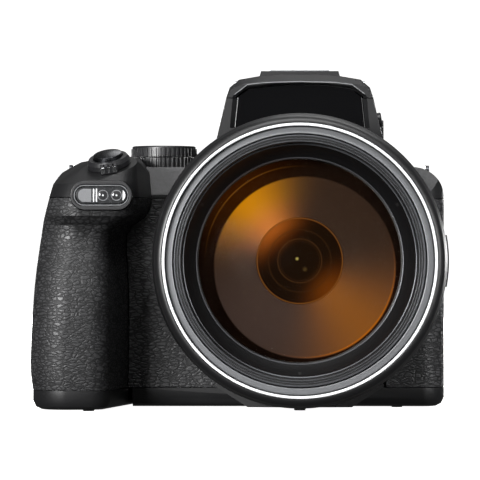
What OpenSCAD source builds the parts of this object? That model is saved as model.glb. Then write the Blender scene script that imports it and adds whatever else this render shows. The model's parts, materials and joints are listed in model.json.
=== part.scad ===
// Bridge camera with a long retracting zoom lens, built as separate pieces, in millimetres.
// X runs to the viewer's right, Y to the back and Z up. The origin is the mouth of the tripod bush,
// straight below the lens axis, on the plane that the feet stand on.

/* [Body] */
// Overall width, from the grip to the cable side
body_w = 146.3; // [143:0.1:152]
// Lens axis to the cable side
axis_to_side = 50.5; // [50:0.5:54]
// Tripod bush to the front face
bush_to_face = 24; // [23:0.5:26]
// Front face to rear face
body_d = 48; // [47:0.5:52]
// Height of the flat deck
deck_z = 84; // [83:0.5:87]
// Height of the seam under the top cover
seam_z = 72.8; // [72:0.2:74.4]
// Height of the seam over the bottom cover
base_z = 7; // [6:0.5:8]
// Overall height, to the top of the shoe rails
body_h = 118.8; // [118:0.2:122]
// Height of the small feet
foot_h = 0.5; // [0.4:0.1:0.8]
// Shell wall
wall = 2; // [1.7:0.1:2.4]
// Radius of the upright corners on the cable side
corner_r = 8; // [6:0.5:9]
// Radius of the top shoulder on the cable side
shoulder_r = 11; // [9:0.5:11]
// Rounding of the bottom edge
base_edge = 3; // [2:0.5:4]
// Thickness of the grained skins
skin = 1.5; // [1.2:0.1:1.8]
// Split between the front and rear shells, behind the tripod bush
split_y = 6; // [5:0.5:7]

/* [Fits] */
// Gap between fixed pieces
fit = 0.15; // [0.1:0.05:0.2]
// Gap around sliding and pressed pieces
run = 0.3; // [0.25:0.05:0.4]
// Radial gap around pins and rings that turn
turn = 0.05; // [0.03:0.01:0.08]

/* [Grip] */
// Width of the grip at its nose
grip_w = 31.5; // [30:0.5:33]
// Reach of the grip in front of the front face
grip_reach = 38; // [35:0.5:42]
// How far the outer side closes in towards the nose
nose_taper = 3.6; // [2:0.2:5]
// Radius of the outer nose corner
nose_r = 13; // [11:0.5:14]
// Radius of the inner nose corner
nose_in_r = 8; // [7:0.5:9]
// Radius of the rear corner on the grip side
heel_r = 9; // [7.5:0.5:10]
// Height of the belly, the widest place
belly_z = 17; // [14:1:24]
// Height where the nose reaches farthest
bulge_z = 42; // [36:1:46]
// Height of the finger groove
groove_z = 60.5; // [57:0.5:62]
// Depth of the finger groove
groove_depth = 5; // [3:0.5:7]
// Height where the head over the groove stands full
head_z = 66.5; // [65:0.5:68]
// How far the outer side leans in at the seam
head_lean = 6.4; // [4:0.2:8]
// Width of the head beyond the grip's inner side
head_over = 9.8; // [8:0.2:11]

/* [Lens] */
// Height of the lens axis
axis_z = 51.2; // [50.6:0.1:52]
// Front face to the front of the lens
lens_reach = 106; // [102:0.5:112]
// Radius of the base barrel
base_barrel_r = 49.6; // [49.2:0.1:50]
// Length of the base barrel
base_barrel_l = 56; // [52:0.5:58]
// Radius of the front bezel
bezel_r = 47; // [46.8:0.1:47.6]
// Bore of the fixed barrel
fixed_bore_r = 43.5; // [43.4:0.1:43.7]
// Length of the control ring
ring_l = 20; // [16:0.5:22]
// Number of ribs on the control ring
ring_ribs = 110; // [80:2:130]
// Depth of the ribs
rib_depth = 0.7; // [0.4:0.1:0.9]
// Travel of each zoom stage
zoom_travel = 60; // [50:1:64]
// Bore of the filter thread
filter_bore_r = 38.1; // [37.9:0.1:38.3]
// Depth of the filter thread
filter_depth = 5; // [4:0.2:6]
// Clear radius in front of the first glass
glass_r = 33.2; // [32:0.2:34]
// Radius of curvature of the first glass
glass_curve = 110; // [95:1:140]
// Clear radius of the inner lens group
inner_r = 14.8; // [13:0.2:15.6]
// Radius of the iris opening
iris_r = 6.8; // [4:0.2:9]

/* [Hump] */
// Half width of the hump front at the plate
hump_half = 25; // [24:0.2:27]
// How far the hump stands in front of the front face
hump_reach = 14; // [12.5:0.5:15]
// Height of the lower edge of the flash lid
lid_z = 107.5; // [106.5:0.2:108.4]
// Height of the front lip of the flash lid
lip_z = 113.2; // [112.6:0.2:114]
// Angle that the flash lid opens to
flash_open = 50; // [30:1:60]
// Radius of the flash hinge pin
flash_pin_r = 1; // [0.8:0.1:1.3]
// Clear width of the accessory shoe
shoe_w = 18.6; // [18.6:0.05:18.8]
// Gap between the shoe rails
shoe_gap = 12.5; // [12.3:0.1:12.7]
// Clear height under the shoe rails
shoe_clear = 2.1; // [2.05:0.05:2.2]
// Back of the eyecup, behind the rear face
eye_reach = 27.3; // [24:0.1:30]

/* [Top controls] */
// Shutter axis, in from the outer side of the grip
shutter_x = 30.6; // [29:0.1:32]
// Shutter axis, in front of the front face
shutter_y = 24; // [22:0.5:25]
// Height of the shutter platform
shutter_z = 83.8; // [82.6:0.1:84.4]
// Forward tilt of the shutter platform
shutter_pitch = 20; // [14:1:24]
// Outward tilt of the shutter platform
shutter_roll = 9; // [5:1:12]
// Radius of the shutter button
shutter_r = 4.9; // [4.4:0.1:5.2]
// Travel of the shutter button
shutter_travel = 1.2; // [0.8:0.1:1.3]
// Radius of the zoom lever ring
lever_r = 7.4; // [7:0.1:7.8]
// Radius of the mode dial
dial_r = 11.7; // [10.5:0.1:12]
// Height of the mode dial
dial_h = 3.9; // [3.4:0.1:4.4]
// Height of the collar under the mode dial
collar_h = 3.5; // [3:0.1:4]
// Number of grooves around the mode dial
dial_grooves = 44; // [30:2:60]
// Mode dial, sideways from the lens axis
dial_x = 48.1; // [47.6:0.1:49]
// Radius of the power and function buttons
top_button_r = 4; // [3.2:0.1:4.4]
// Travel of the small buttons
press = 0.7; // [0.4:0.1:0.8]

/* [Rear] */
// Width of the monitor
mon_w = 76; // [72:0.5:77]
// Height of the monitor
mon_h = 58; // [54:0.5:59]
// Thickness of the monitor
mon_t = 7.6; // [7:0.1:8.2]
// Radius of the monitor hinge pin
mon_pin_r = 1.2; // [1:0.1:1.5]
// Radius of the rotary selector
wheel_r = 12.5; // [11:0.1:13]
// Radius of the centre button
ok_r = 4.6; // [4:0.1:4.8]
// Radius of the small rear buttons
rear_button_r = 3.4; // [2.8:0.1:3.8]

/* [Tripod and power] */
// Bore of the tripod thread
bush_bore_r = 2.6; // [2.5:0.05:2.7]
// Depth of the tripod thread
bush_depth = 6; // [5:0.5:6.5]
// Battery thickness
bat_x = 15; // [13:0.5:15.5]
// Battery depth
bat_y = 29; // [26:0.5:30]
// Battery height
bat_h = 46; // [40:1:48]
// Wall of the battery chamber
chamber_wall = 1.2; // [1:0.1:1.4]

/* [Hidden] */
$fn = 64;
x_side = axis_to_side;
x_grip = axis_to_side - body_w;
x_in = x_grip + grip_w;
x_head = x_in + head_over;
x_root = x_in + 6;
y_face = -bush_to_face;
y_rear = y_face + body_d;
y_nose = y_face - grip_reach;
face_a = bush_to_face;
front_a = face_a + lens_reach;
root_r = 5;
barrel_in = base_barrel_r - 2.5;
tube_r = 45.2;
trim_r = 44.4;
hole_r = tube_r + run;
ring_a1 = front_a - 26;
ring_a0 = ring_a1 - ring_l;
mid_r = fixed_bore_r - run;
mid_in = mid_r - 2.2;
front_r = mid_in - 0.4;
front_in = front_r - 1.7;
seat_a = front_a - 0.4 - filter_depth;
cone_a = seat_a - 0.2;
glass_a = front_a - 10.7;
floor_z = foot_h + wall;
y_hump = y_face - hump_reach;
pin_y = y_face + 16;
pin_z = lip_z + 0.4;
knuckle_r = 3.2;
plinth_z = 1.9;
shoe_floor = body_h - shoe_clear - 1.2;
x_shut = x_grip + shutter_x;
y_shut = y_face - shutter_y;
ridge_z = deck_z + 1.6;
ridge_rise = 1.6;
ridge_x0 = x_in - 8.7;
ridge_x1 = x_in + 4.8;
ring_out = hole_r + 2.6;
ring_back = face_a - skin - fit - wall;
pill_x = x_shut - 2.1;
pill_z = seam_z + 0.6;
pill_w = 21;
pill_h = 10;
y_pill = y_nose - 0.2;
hinge_x = x_side - 7.5;
mon_x1 = hinge_x - 4.4;
mon_x0 = mon_x1 - mon_w;
mon_z0 = base_z + 3.2;
mon_back = y_rear + 1.5;
mon_front = mon_back - mon_t;
hinge_y = mon_back - 3.8;
pocket_y = mon_front - 0.5;
bat_x0 = x_grip + 11.2;
bat_y1 = y_face + 11;
bat_y0 = bat_y1 - bat_y;
bat_z0 = floor_z + 0.6;
chamber_x0 = bat_x0 - run - chamber_wall;
chamber_x1 = bat_x0 + bat_x + run + chamber_wall;
door_x0 = bat_x0 - 1;
door_x1 = chamber_x1 - 0.6;
door_y0 = bat_y0 - 0.6;
door_y1 = bat_y1 + 3.6;
door_t = wall;
wheel_x = mon_x0 - 22.6;
wheel_z = 37;
flap_y0 = y_face + 11;
flap_y1 = split_y - 2.8;
flap_z0 = 20;
flap_z1 = 60;
flap_x = x_side - 1.2;
command_x = x_in - 3.7;
command_y = y_rear - 8.8;
command_r = 9.5;
eye_z = 100.5;
loop_x = x_side - 6.2;
loop_in = x_grip + 14.3;
x_deck = x_in + 2.3;
power_x = x_in - 1.7;
power_y = y_face + 5;
power_z = ridge_z + ridge_rise * (power_x - ridge_x0) / (ridge_x1 - ridge_x0);
thumb_x = x_grip + 16.5;
thumb_w = 12;
screw_spots = [[x_in + 14.3, 12], [-34, y_face + 8], [30, y_face + 13], [40, y_face + 20]];
lock_at = [mon_x0 - 9.6, 62];
movie_at = [(thumb_x + thumb_w / 2 + lock_at[0] - rear_button_r) / 2, 62];
play_at = [mon_x0 - 7.6, 50];
menu_at = [mon_x0 - 7.6, 20];
delete_at = [wheel_x - 14, 20];
rear_spots = [movie_at, lock_at, play_at, menu_at, delete_at];

// Each row is height, lean of the outer side, reach of the nose and inner side of the nose.
grip_rows = [
  [base_z + fit, 0.8, grip_reach - 2, x_in],
  [belly_z, 0, grip_reach - 0.6, x_in],
  [bulge_z, 1.4, grip_reach, x_in],
  [groove_z, head_lean * 0.55, grip_reach - groove_depth, x_in],
  [head_z, head_lean * 0.75, grip_reach - 0.8, x_head - 2],
  [seam_z - fit, head_lean, grip_reach - 0.4, x_head]
];

// Levels of the grip: the rows and two more between each pair, on a smooth curve.
grip_top = len(grip_rows) - 1;
function smooth_step(a, b, c, d, t) =
  b + 0.5 * t * (c - a + t * (2 * a - 5 * b + 4 * c - d + t * (3 * (b - c) + d - a)));
grip_levels = [
  for (i = [0 : grip_top - 1], k = [0 : 2])
    smooth_step(
      grip_rows[max(i - 1, 0)], grip_rows[i], grip_rows[i + 1], grip_rows[min(i + 2, grip_top)], k / 3
    ),
  grip_rows[grip_top]
];

// Places along and around the lens axis. In a lathe profile, x is the radius and y the distance forward.
module lathe() translate([0, 0, axis_z]) rotate([90, 0, 0]) rotate_extrude() children();
module lens_rod(r, a0, a1) translate([0, -a0, axis_z]) rotate([90, 0, 0]) cylinder(r = r, h = a1 - a0);
module outline_y(y0, y1) translate([0, y1, 0]) rotate([90, 0, 0]) linear_extrude(y1 - y0) children();
module slice_y(y, points) translate([0, y, 0]) rotate([90, 0, 0]) linear_extrude(0.02) polygon(points);
module on_shutter()
  translate([x_shut, y_shut, shutter_z])
    rotate([shutter_pitch, -shutter_roll, 0])
      children();
module on_rear(x, z) translate([x, y_rear, z]) rotate([-90, 0, 0]) children();
module on_side(a, angle) translate([0, -a, axis_z]) rotate([0, 90 - angle, 0]) children();

module box(x0, x1, y0, y1, z0, z1) translate([x0, y0, z0]) cube([x1 - x0, y1 - y0, z1 - z0]);
module before_split() box(-150, 150, -150, split_y, -5, 150);
module behind_split() box(-150, 150, split_y + fit, 150, -5, 150);

// A rectangle with round corners, about its centre.
module soft_rect(w, h, r) {
  square([w - 2 * r, h], center = true);
  square([w, h - 2 * r], center = true);
  for (x = [-1, 1], y = [-1, 1])
    translate([x * (w / 2 - r), y * (h / 2 - r)])
      circle(r);
}

// A long shape with round ends, about its centre.
module pill(w, h) {
  square([w - h, h], center = true);
  for (x = [-1, 1])
    translate([x * (w - h) / 2, 0])
      circle(h / 2);
}

// A round bar with straight grooves cut along it.
module grooved(r, depth, n) {
  polygon([
    for (i = [0 : n - 1], k = [0 : 3])
      let (a = (i + [0.05, 0.5, 0.6, 0.95][k]) * 360 / n, q = k < 2 ? r : r - depth)
        [q * cos(a), q * sin(a)]
  ]);
}

// Plan of the body beside the grip, set in from the outside.
module block_plan(inset, x0) {
  translate([x0, y_face + inset])
    square([x_side - corner_r - x0, body_d - 2 * inset]);
  translate([x_side - corner_r, y_face + corner_r])
    square([corner_r - inset, body_d - 2 * corner_r]);
  for (y = [y_face + corner_r, y_rear - corner_r])
    translate([x_side - corner_r, y])
      circle(corner_r - inset);
}

// Corner centres and radii of one level of the grip: outer nose, inner nose, root and heel.
function grip_spots(row) =
  let (left = x_grip + row[1], nose = y_face - row[2])
    [
      [left + nose_taper + nose_r, nose + nose_r, nose_r],
      [row[3] - nose_in_r, nose + nose_in_r + 1.2, nose_in_r],
      [max(row[3] + 2, x_in + 6), y_rear - root_r, root_r],
      [left + heel_r, y_rear - heel_r, heel_r]
    ];

// Outline of one level as a ring of points, set in from the outside.
grip_turns = [[180, 270], [270, 351], [351, 450], [90, 180]];
function grip_ring(row, inset, z) =
  let (spots = grip_spots(row))
    [
      for (i = [0 : 3], k = [0 : 8])
        let (a = grip_turns[i][0] + (grip_turns[i][1] - grip_turns[i][0]) * (k + (i == 3 ? 0.2 : 0)) / 8.4)
          [spots[i][0] + (spots[i][2] - inset) * cos(a), spots[i][1] + (spots[i][2] - inset) * sin(a), z]
    ];

// A closed skin through rings of equal count, from the lowest up.
module loft(rings) {
  n = len(rings[0]);
  m = len(rings);
  polyhedron(
    points = [for (r = rings) each r],
    faces = concat(
      [[for (i = [0 : n - 1]) i]],
      [for (j = [0 : m - 2], i = [0 : n - 1]) [j * n + i, (j + 1) * n + i, j * n + (i + 1) % n]],
      [
        for (j = [0 : m - 2], i = [0 : n - 1])
          [(j + 1) * n + i, (j + 1) * n + (i + 1) % n, j * n + (i + 1) % n]
      ],
      [[for (i = [n - 1 : -1 : 0]) (m - 1) * n + i]]
    )
  );
}

// The grip, from the base seam to the top seam; dz lengthens it at both ends.
module grip_form(inset, dz = 0) {
  loft([
    for (i = [0 : len(grip_levels) - 1])
      let (row = grip_levels[i], end = i == 0 ? -dz : i == len(grip_levels) - 1 ? dz : 0)
        grip_ring(row, inset, row[0] + end)
  ]);
}

module grip_level(row, inset)
  for (q = grip_spots(row))
    translate([q[0], q[1], row[0]])
      cylinder(r = q[2] - inset, h = 0.02, $fn = 36);

module pill_cut(gap) {
  translate([pill_x, y_pill + 9, pill_z])
    rotate([90, 0, 0])
      linear_extrude(12)
        pill(pill_w + 2 * gap, pill_h + 2 * gap);
}

// Pressed button: a cap through the wall with a flange behind it.
module button(r, stand) {
  translate([0, 0, -wall - run - 1])
    cylinder(r = r + 0.8, h = 1);
  translate([0, 0, -wall - run - 0.5])
    cylinder(r = r, h = wall + run + 0.5 + stand - 0.3);
  translate([0, 0, stand - 0.31])
    cylinder(r1 = r, r2 = r - 0.3, h = 0.31);
}
module button_hole(r) {
  translate([0, 0, -wall - 0.01]) cylinder(r = r + run, h = wall + 3);
  translate([0, 0, -wall - 2 * run - 1 - press]) cylinder(r = r + 0.8 + run, h = 1 + press + 2 * run);
}

// Shells

module front_cover() {
  color("#232426")
  difference() {
    union() {
      difference() {
        union() {
          intersection() {
            grip_form(skin + fit);
            before_split();
          }
          translate([0, 0, base_z + fit])
            linear_extrude(seam_z - base_z - 2 * fit)
              intersection() {
                union() {
                  block_plan(skin + fit, x_root - 6);
                  translate([0, y_face + 9])
                    intersection() {
                      translate([0, -y_face - 9]) block_plan(0, x_root);
                      translate([x_side - 6, 0]) square([10, 60]);
                    }
                }
                translate([-150, -100]) square([300, 100 + split_y]);
              }
        }
        grip_form(skin + fit + wall, 1);
        translate([0, 0, base_z - 1])
          linear_extrude(seam_z - base_z + 2)
            block_plan(skin + fit + wall, x_root - 10);
      }
      box(x_side - 6, x_side - 3.6, flap_y0 - 1, split_y, base_z + fit, seam_z - fit);
      lathe() translate([hole_r - 0.5, ring_back]) square([ring_out - hole_r + 0.5, face_a - ring_back]);
    }
    lens_rod(hole_r, ring_back - 3, 60);
    pill_cut(fit);
    box(x_side - 2.6, x_side + 5, flap_y0 - run, flap_y1 + 1.2 + run, flap_z0 - run, flap_z1 + run);
    for (z = [flap_z0 + 6, flap_z0 + 17, flap_z0 + 28])
      box(x_side - 5, x_side + 5, flap_y0 + 3, flap_y1 - 3.4, z, z + 6);
    translate([flap_x, flap_y1, flap_z0 - 2.6]) cylinder(r = 0.6 + fit, h = flap_z1 - flap_z0 + 5.2);
  }
}

module rear_cover() {
  z0 = base_z + fit;
  z1 = seam_z - fit;
  color("#232426")
  difference() {
    union() {
      difference() {
        intersection() {
          union() {
            grip_form(0);
            translate([0, 0, z0]) linear_extrude(z1 - z0) block_plan(0, x_root - 6);
          }
          behind_split();
        }
        grip_form(wall, 1);
        translate([0, 0, z0 - 1]) linear_extrude(z1 - z0 + 2) block_plan(wall, x_root - 10);
      }
      intersection() {
        box(mon_x0 - 3, x_side, pocket_y - wall, y_rear - 1, z0, z1);
        translate([0, 0, z0]) linear_extrude(z1 - z0) block_plan(0, x_root - 6);
      }
    }
    box(mon_x0 - 0.7, x_side + 5, pocket_y, y_rear + 10, mon_z0 - 0.6, mon_z0 + mon_h + 0.6);
    translate([hinge_x, hinge_y, z0 - 1]) cylinder(r = mon_pin_r + fit, h = seam_z);
    for (b = rear_spots)
      on_rear(b[0], b[1]) button_hole(rear_button_r);
    on_rear(wheel_x, wheel_z) {
      button_hole(ok_r);
      translate([0, 0, -1.1])
        difference() {
          cylinder(r = wheel_r + run, h = 3);
          translate([0, 0, -1]) cylinder(r = ok_r + 1, h = 3.4);
        }
    }
  }
}

module plinth_plan() {
  polygon([[-28.5, 9], [-17.5, plinth_z], [17.5, plinth_z], [28.5, 9], [20, 20], [-20, 20]]);
}

// The foot of the grip; each level is a height and how far it is set in.
module grip_foot(levels)
  loft([for (e = levels) grip_ring(grip_rows[0], e[1], e[0])]);

module bottom_cover() {
  color("#232426")
  difference() {
    union() {
      difference() {
        union() {
          grip_foot([
            [foot_h, base_edge], [foot_h + base_edge * 0.3, base_edge * 0.35],
            [foot_h + base_edge, 0], [base_z, 0]
          ]);
          hull() {
            for (e = [[0, base_edge], [base_edge * 0.3, base_edge * 0.35]])
              translate([0, 0, foot_h + e[0]])
                linear_extrude(0.02)
                  block_plan(e[1], x_root);
            translate([0, 0, foot_h + base_edge])
              linear_extrude(base_z - foot_h - base_edge)
                block_plan(0, x_root);
          }
        }
        grip_foot([[floor_z, wall + 1], [floor_z + 1, wall], [base_z + 1, wall]]);
        translate([0, 0, floor_z]) linear_extrude(20) block_plan(wall + 0.8, x_root - 8);
      }
      for (f = [
        [x_in - 7.7, y_nose + 8.5], [x_side - 16.5, y_face + 9], [x_side - 11.5, y_rear - 9], [x_in - 8.7, y_rear - 9]
      ])
        translate([f[0], f[1], 0])
          cylinder(r1 = 1.8, r2 = 2.2, h = foot_h + 0.3);
      for (x = [door_x0 - 3.6, door_x1 + 0.5])
        box(x, x + 3.1, door_y1 - 2.6, door_y1 + 2, foot_h, floor_z + 1.2);
    }
    lens_rod(ring_out + fit, ring_back - fit, 60);
    translate([0, 0, -1]) cylinder(r = 6.5 + fit, h = 20);
    box(door_x0 - run, door_x1 + run, door_y0 - run, door_y1 + 2, -1, floor_z + 1);
    translate([door_x0 - 3, door_y1, floor_z - 0.4])
      rotate([0, 90, 0])
        cylinder(r = 0.7 + fit, h = door_x1 - door_x0 + 6);
    for (s = screw_spots)
      translate([s[0], s[1], -1]) {
        cylinder(r = 0.85 + fit, h = 10);
        cylinder(r = 1.7 + fit, h = foot_h + 2);
      }
  }
}

module grip_skin() {
  color("#1b1b1c")
  difference() {
    intersection() {
      grip_form(0);
      before_split();
    }
    grip_form(skin, 1);
    translate([0, 0, base_z - 1]) linear_extrude(seam_z) block_plan(-0.4, x_root - 12);
    pill_cut(fit);
  }
}

// Skins over the front face, on both sides of the lens, the far one round the corner.
module face_skins() {
  color("#1b1b1c") {
    difference() {
      box(x_root - 4, -10, y_face, y_face + skin, base_z + fit, seam_z - fit);
      lens_rod(base_barrel_r - 0.4, 0, 60);
      grip_form(-fit, 1);
      translate([-28, y_face - 1, base_z - 1]) rotate([0, 25, 0]) cube([40, 10, 60]);
    }
    difference() {
      translate([0, 0, base_z + fit])
        linear_extrude(seam_z - base_z - 2 * fit)
          difference() {
            block_plan(0, 20);
            block_plan(skin, 10);
            translate([0, y_face + 8.85]) square([200, 200]);
          }
      lens_rod(base_barrel_r - 0.4, 0, 60);
      box(10, 30, -60, 60, 0, 30);
    }
  }
}

module thumb_rest() {
  color("#1b1b1c")
  on_rear(thumb_x, 60) {
    translate([0, 0, 0.1]) linear_extrude(1) soft_rect(thumb_w, 20, 4);
    translate([0, 0, 1]) linear_extrude(0.8) soft_rect(thumb_w - 1.2, 18.8, 3.6);
  }
}

// Hump outlines, half width and height pairs mirrored about the lens axis.
function both(p) = concat([for (q = p) [q[0], q[1]]], [for (i = [len(p) - 1 : -1 : 0]) [-p[i][0], p[i][1]]]);
hump_front = both([
  [hump_half + 5.5, deck_z - 4], [hump_half + 4, deck_z + 8], [hump_half, lid_z],
  [hump_half - 1.2, lid_z + 2.7], [hump_half - 4.4, lip_z - 1.2], [hump_half - 12, lip_z - 0.3], [5, lip_z]
]);
hump_rear = both([
  [hump_half + 6.5, deck_z - 4], [hump_half + 5, deck_z + 8], [hump_half + 1, lid_z + 1.5],
  [hump_half - 0.2, lid_z + 5], [hump_half - 3.5, lid_z + 7.8], [hump_half - 11, body_h - 2.2],
  [5, body_h - 1.5]
]);
hump_back = both([
  [hump_half + 2, deck_z - 4], [hump_half - 1, deck_z + 8], [hump_half - 4, lid_z - 2],
  [hump_half - 6, lid_z + 1], [hump_half - 9, lid_z + 3.6], [hump_half - 14, lid_z + 4.6], [5, lid_z + 5]
]);
plate_front = both([
  [22.6, 97], [21.5, lid_z + 0.2], [17.7, lid_z + 3], [9, lid_z + 4.1], [0.5, lid_z + 4.4]
]);
plate_wide = both([
  [24.2, 97], [23.2, lid_z + 0.6], [18.6, lid_z + 4.1], [9, lid_z + 5.1], [0.5, lid_z + 5.3]
]);
y_plate = y_hump + 1.8;
y_ramp = y_face + 20;

module hump_body() {
  hull() {
    slice_y(y_hump + 0.02, hump_front);
    slice_y(y_ramp, hump_rear);
  }
}

// The dished front that the plate lies in.
module plate_dish() {
  hull() {
    slice_y(y_hump - 0.1, plate_wide);
    slice_y(y_plate + 0.02, plate_front);
  }
}

module shoulder_form(inset, drop) {
  hull() {
    grip_level([seam_z + fit - drop, head_lean, grip_reach - 0.4, x_head], inset);
    grip_level([seam_z + 4.6 - inset * 0.4, head_lean + 1.3, grip_reach - 1.4, x_head - 0.4], inset);
    on_shutter() translate([0, 0, -0.6 - inset]) cylinder(r = 9.6 - inset, h = 0.6, $fn = 40);
    for (e = [[ridge_x0, ridge_z], [ridge_x1, ridge_z + ridge_rise]], y = [y_face, y_rear - 7])
      translate([e[0], y, e[1] - inset - 0.5])
        cylinder(r = 3.2 - inset * 0.5, h = 0.5, $fn = 24);
    for (e = [[11.2, 7.7], [12.6, 9.3], [15.8, 11.2]], y = [y_face + 6, y_rear - 12])
      translate([x_grip + e[0] + 3.2, y, seam_z + e[1] - inset - 0.02])
        cylinder(r = 3.2 - inset * 0.5, h = 0.02, $fn = 24);
  }
}

module deck_form(inset) {
  intersection() {
    outline_y(-100, 100) {
      translate([x_deck, seam_z + fit - inset])
        square([x_side - x_deck - shoulder_r, deck_z - seam_z - fit]);
      translate([x_deck, seam_z + fit - 4 * inset])
        square([x_side - inset - x_deck, max(0.01, deck_z - shoulder_r - seam_z - fit + 4 * inset)]);
      intersection() {
        translate([x_side - shoulder_r, deck_z - shoulder_r]) circle(shoulder_r - inset);
        translate([0, seam_z + fit - inset]) square([100, 30]);
      }
    }
    union() {
      translate([0, 0, seam_z + fit - 4 * inset])
        linear_extrude(deck_z)
          block_plan(inset, x_deck);
    }
    rotate([90, 0, 90])
      translate([0, 0, -100])
        linear_extrude(200)
          polygon([
            [y_face + inset, 0], [y_face + inset, seam_z + 1.4],
            [y_face + 4.5 + inset, deck_z - inset], [y_rear - 2.5 - inset, deck_z - inset],
            [y_rear - inset, deck_z - 2.5 - inset], [y_rear - inset, 0]
          ]);
  }
}

module lid_space(gap) {
  box(-60, 60, -100, pin_y - 7 + gap, lid_z - gap, 150);
  box(-19.5 - gap, 19.5 + gap, -100, pin_y, lid_z - gap, 150);
  intersection() {
    translate([0, pin_y, pin_z])
      rotate([0, 90, 0])
        cylinder(r = knuckle_r + gap, h = 39 + 2 * gap, center = true);
    box(-60, 60, -100, 100, lid_z - gap, 150);
  }
}

module top_cover() {
  color("#232426")
  difference() {
    union() {
      difference() {
        union() {
          shoulder_form(0, 0);
          deck_form(0);
          intersection() {
            lathe() translate([hole_r, 12]) square([base_barrel_r - hole_r - 0.2, ring_back - fit - 12]);
            box(x_deck + 2, x_side - 3, -60, 0, seam_z + fit, 150);
          }
          hump_body();
          hull() {
            slice_y(y_ramp, hump_rear);
            slice_y(y_rear + 12, hump_back);
          }
          outline_y(y_face + 33, y_rear)
            polygon(both([[35.2, seam_z + 3], [35.2, deck_z + 1], [30, deck_z + 6]]));
          outline_y(y_ramp - 0.4, y_rear - 4)
            polygon([[-15.5, 112], [-13.7, body_h - 0.5], [13.7, body_h - 0.5], [15.5, 112]]);
        }
        shoulder_form(wall, 2);
        deck_form(wall);
        box(-26, 26, y_face + 6, y_rear - 2, seam_z - 1, 92.5);
        box(-32, 32, y_face + 35, y_rear - 2, seam_z - 1, deck_z + 1.5);
      }
      translate([command_x, command_y, deck_z - 3]) cylinder(r = 4, h = 3.4);
      box(loop_x - 2, loop_x + 4, -6.4, 6.4, seam_z + fit, deck_z - 4);
      box(loop_in - 2, loop_in + 3.5, -6.4, 6.4, seam_z + fit, ridge_z - 4.2);
      translate([22, y_face + 40, deck_z + 13]) rotate([0, 90, 0]) cylinder(r = 5.2, h = 5.4);
    }
    lens_rod(hole_r, 0, face_a + 1);
    lens_rod(ring_out + fit, ring_back - fit, face_a + 1);
    lens_rod(base_barrel_r + run, face_a, 70);
    // flash well and lid
    lid_space(run);
    box(-19.5 - run, 19.5 + run, pin_y - 1, pin_y + knuckle_r + run, pin_z, 150);
    box(-18, 18, y_plate + 1.6, pin_y - 4, lid_z - 3.6, lid_z + 1);
    plate_dish();
    outline_y(y_plate - 0.1, y_plate + 1.6) plate_seat();
    translate([0, pin_y, pin_z]) rotate([0, 90, 0]) cylinder(r = flash_pin_r + fit, h = 47, center = true);
    // viewfinder tunnel
    box(-10, 10, y_face + 30, y_rear + 20, 94, 107);
    // shoe seat
    box(-11, 11, y_ramp + 1.4, y_rear, shoe_floor - 1.2, 150);
    // shutter, dials, buttons
    on_shutter() {
      translate([0, 0, -8]) cylinder(r = 2 + run, h = 20);
      translate([0, 0, 0.06]) cylinder(r = lever_r + 2.8, h = 20);
    }
    translate([-dial_x, 0, deck_z - 10]) cylinder(r = 2.5 + turn, h = 20);
    translate([-dial_x, 0, deck_z]) cylinder(r = dial_r + run, h = 20);
    translate([command_x, command_y, deck_z - 4]) cylinder(r = 1.5 + turn, h = 3.2);
    translate([command_x, command_y, deck_z - 8.3]) cylinder(r = command_r + run, h = 5.3);
    translate([power_x, power_y, power_z]) button_hole(top_button_r);
    on_flank() button_hole(2.6);
    translate([20, y_face + 40, deck_z + 13]) rotate([0, 90, 0]) cylinder(r = 1.5 + turn, h = 30);
    pill_cut(fit);
    box(loop_in - 4, loop_in + 3.4, -4.5, 4.5, deck_z - 2.2, 150);
    for (x = [loop_x, loop_in])
      box(x - fit, x + 1.4 + fit, -5.5 - fit, 5.5 + fit, seam_z + 1, 100);
  }
}

// Place of the flash button on the flank of the hump.
module on_flank() translate([hump_half + 2.4, y_hump + 8, lid_z - 7.5]) rotate([0, 82, 0]) children();

module plate_seat()
  polygon(both([
    [22.8, 95], [21.7, lid_z + 0.3], [17.8, lid_z + 3.2], [9, lid_z + 4.3], [0.5, lid_z + 4.6]
  ]));

module name_plate() {
  color("#0b0b0c")
  difference() {
    outline_y(y_plate, y_plate + 1.5)
      intersection() {
        polygon(plate_front);
        translate([-40, axis_z]) square([80, 80]);
      }
    lens_rod(base_barrel_r + 1, 0, 70);
  }
}

// Trim and lamps

module lamp_housing() {
  color("#161617")
  difference() {
    translate([pill_x, y_pill + 8.8, pill_z]) rotate([90, 0, 0]) linear_extrude(8.8) pill(pill_w, pill_h);
    translate([pill_x, y_pill + 2.4, pill_z]) rotate([90, 0, 0]) linear_extrude(6) pill(18.9, 7.3);
  }
}

module lamp_window() {
  color("#c9cdd0")
  translate([pill_x, y_pill + 2.3, pill_z]) {
    rotate([90, 0, 0]) linear_extrude(1.2) pill(18.6, 7);
    rotate([90, 0, 0]) linear_extrude(2) pill(17.2, 5.4);
  }
}

module hot_shoe() {
  color("#b9bcc0")
  difference() {
    box(-10.5, 10.5, y_ramp + 1.6, y_rear - 4.2, shoe_floor - 1.1, body_h);
    box(-shoe_w / 2, shoe_w / 2, y_ramp + 2.8, y_rear, shoe_floor, shoe_floor + shoe_clear);
    box(-shoe_gap / 2, shoe_gap / 2, y_ramp + 2.8, y_rear, shoe_floor, body_h + 1);
  }
}

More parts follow.
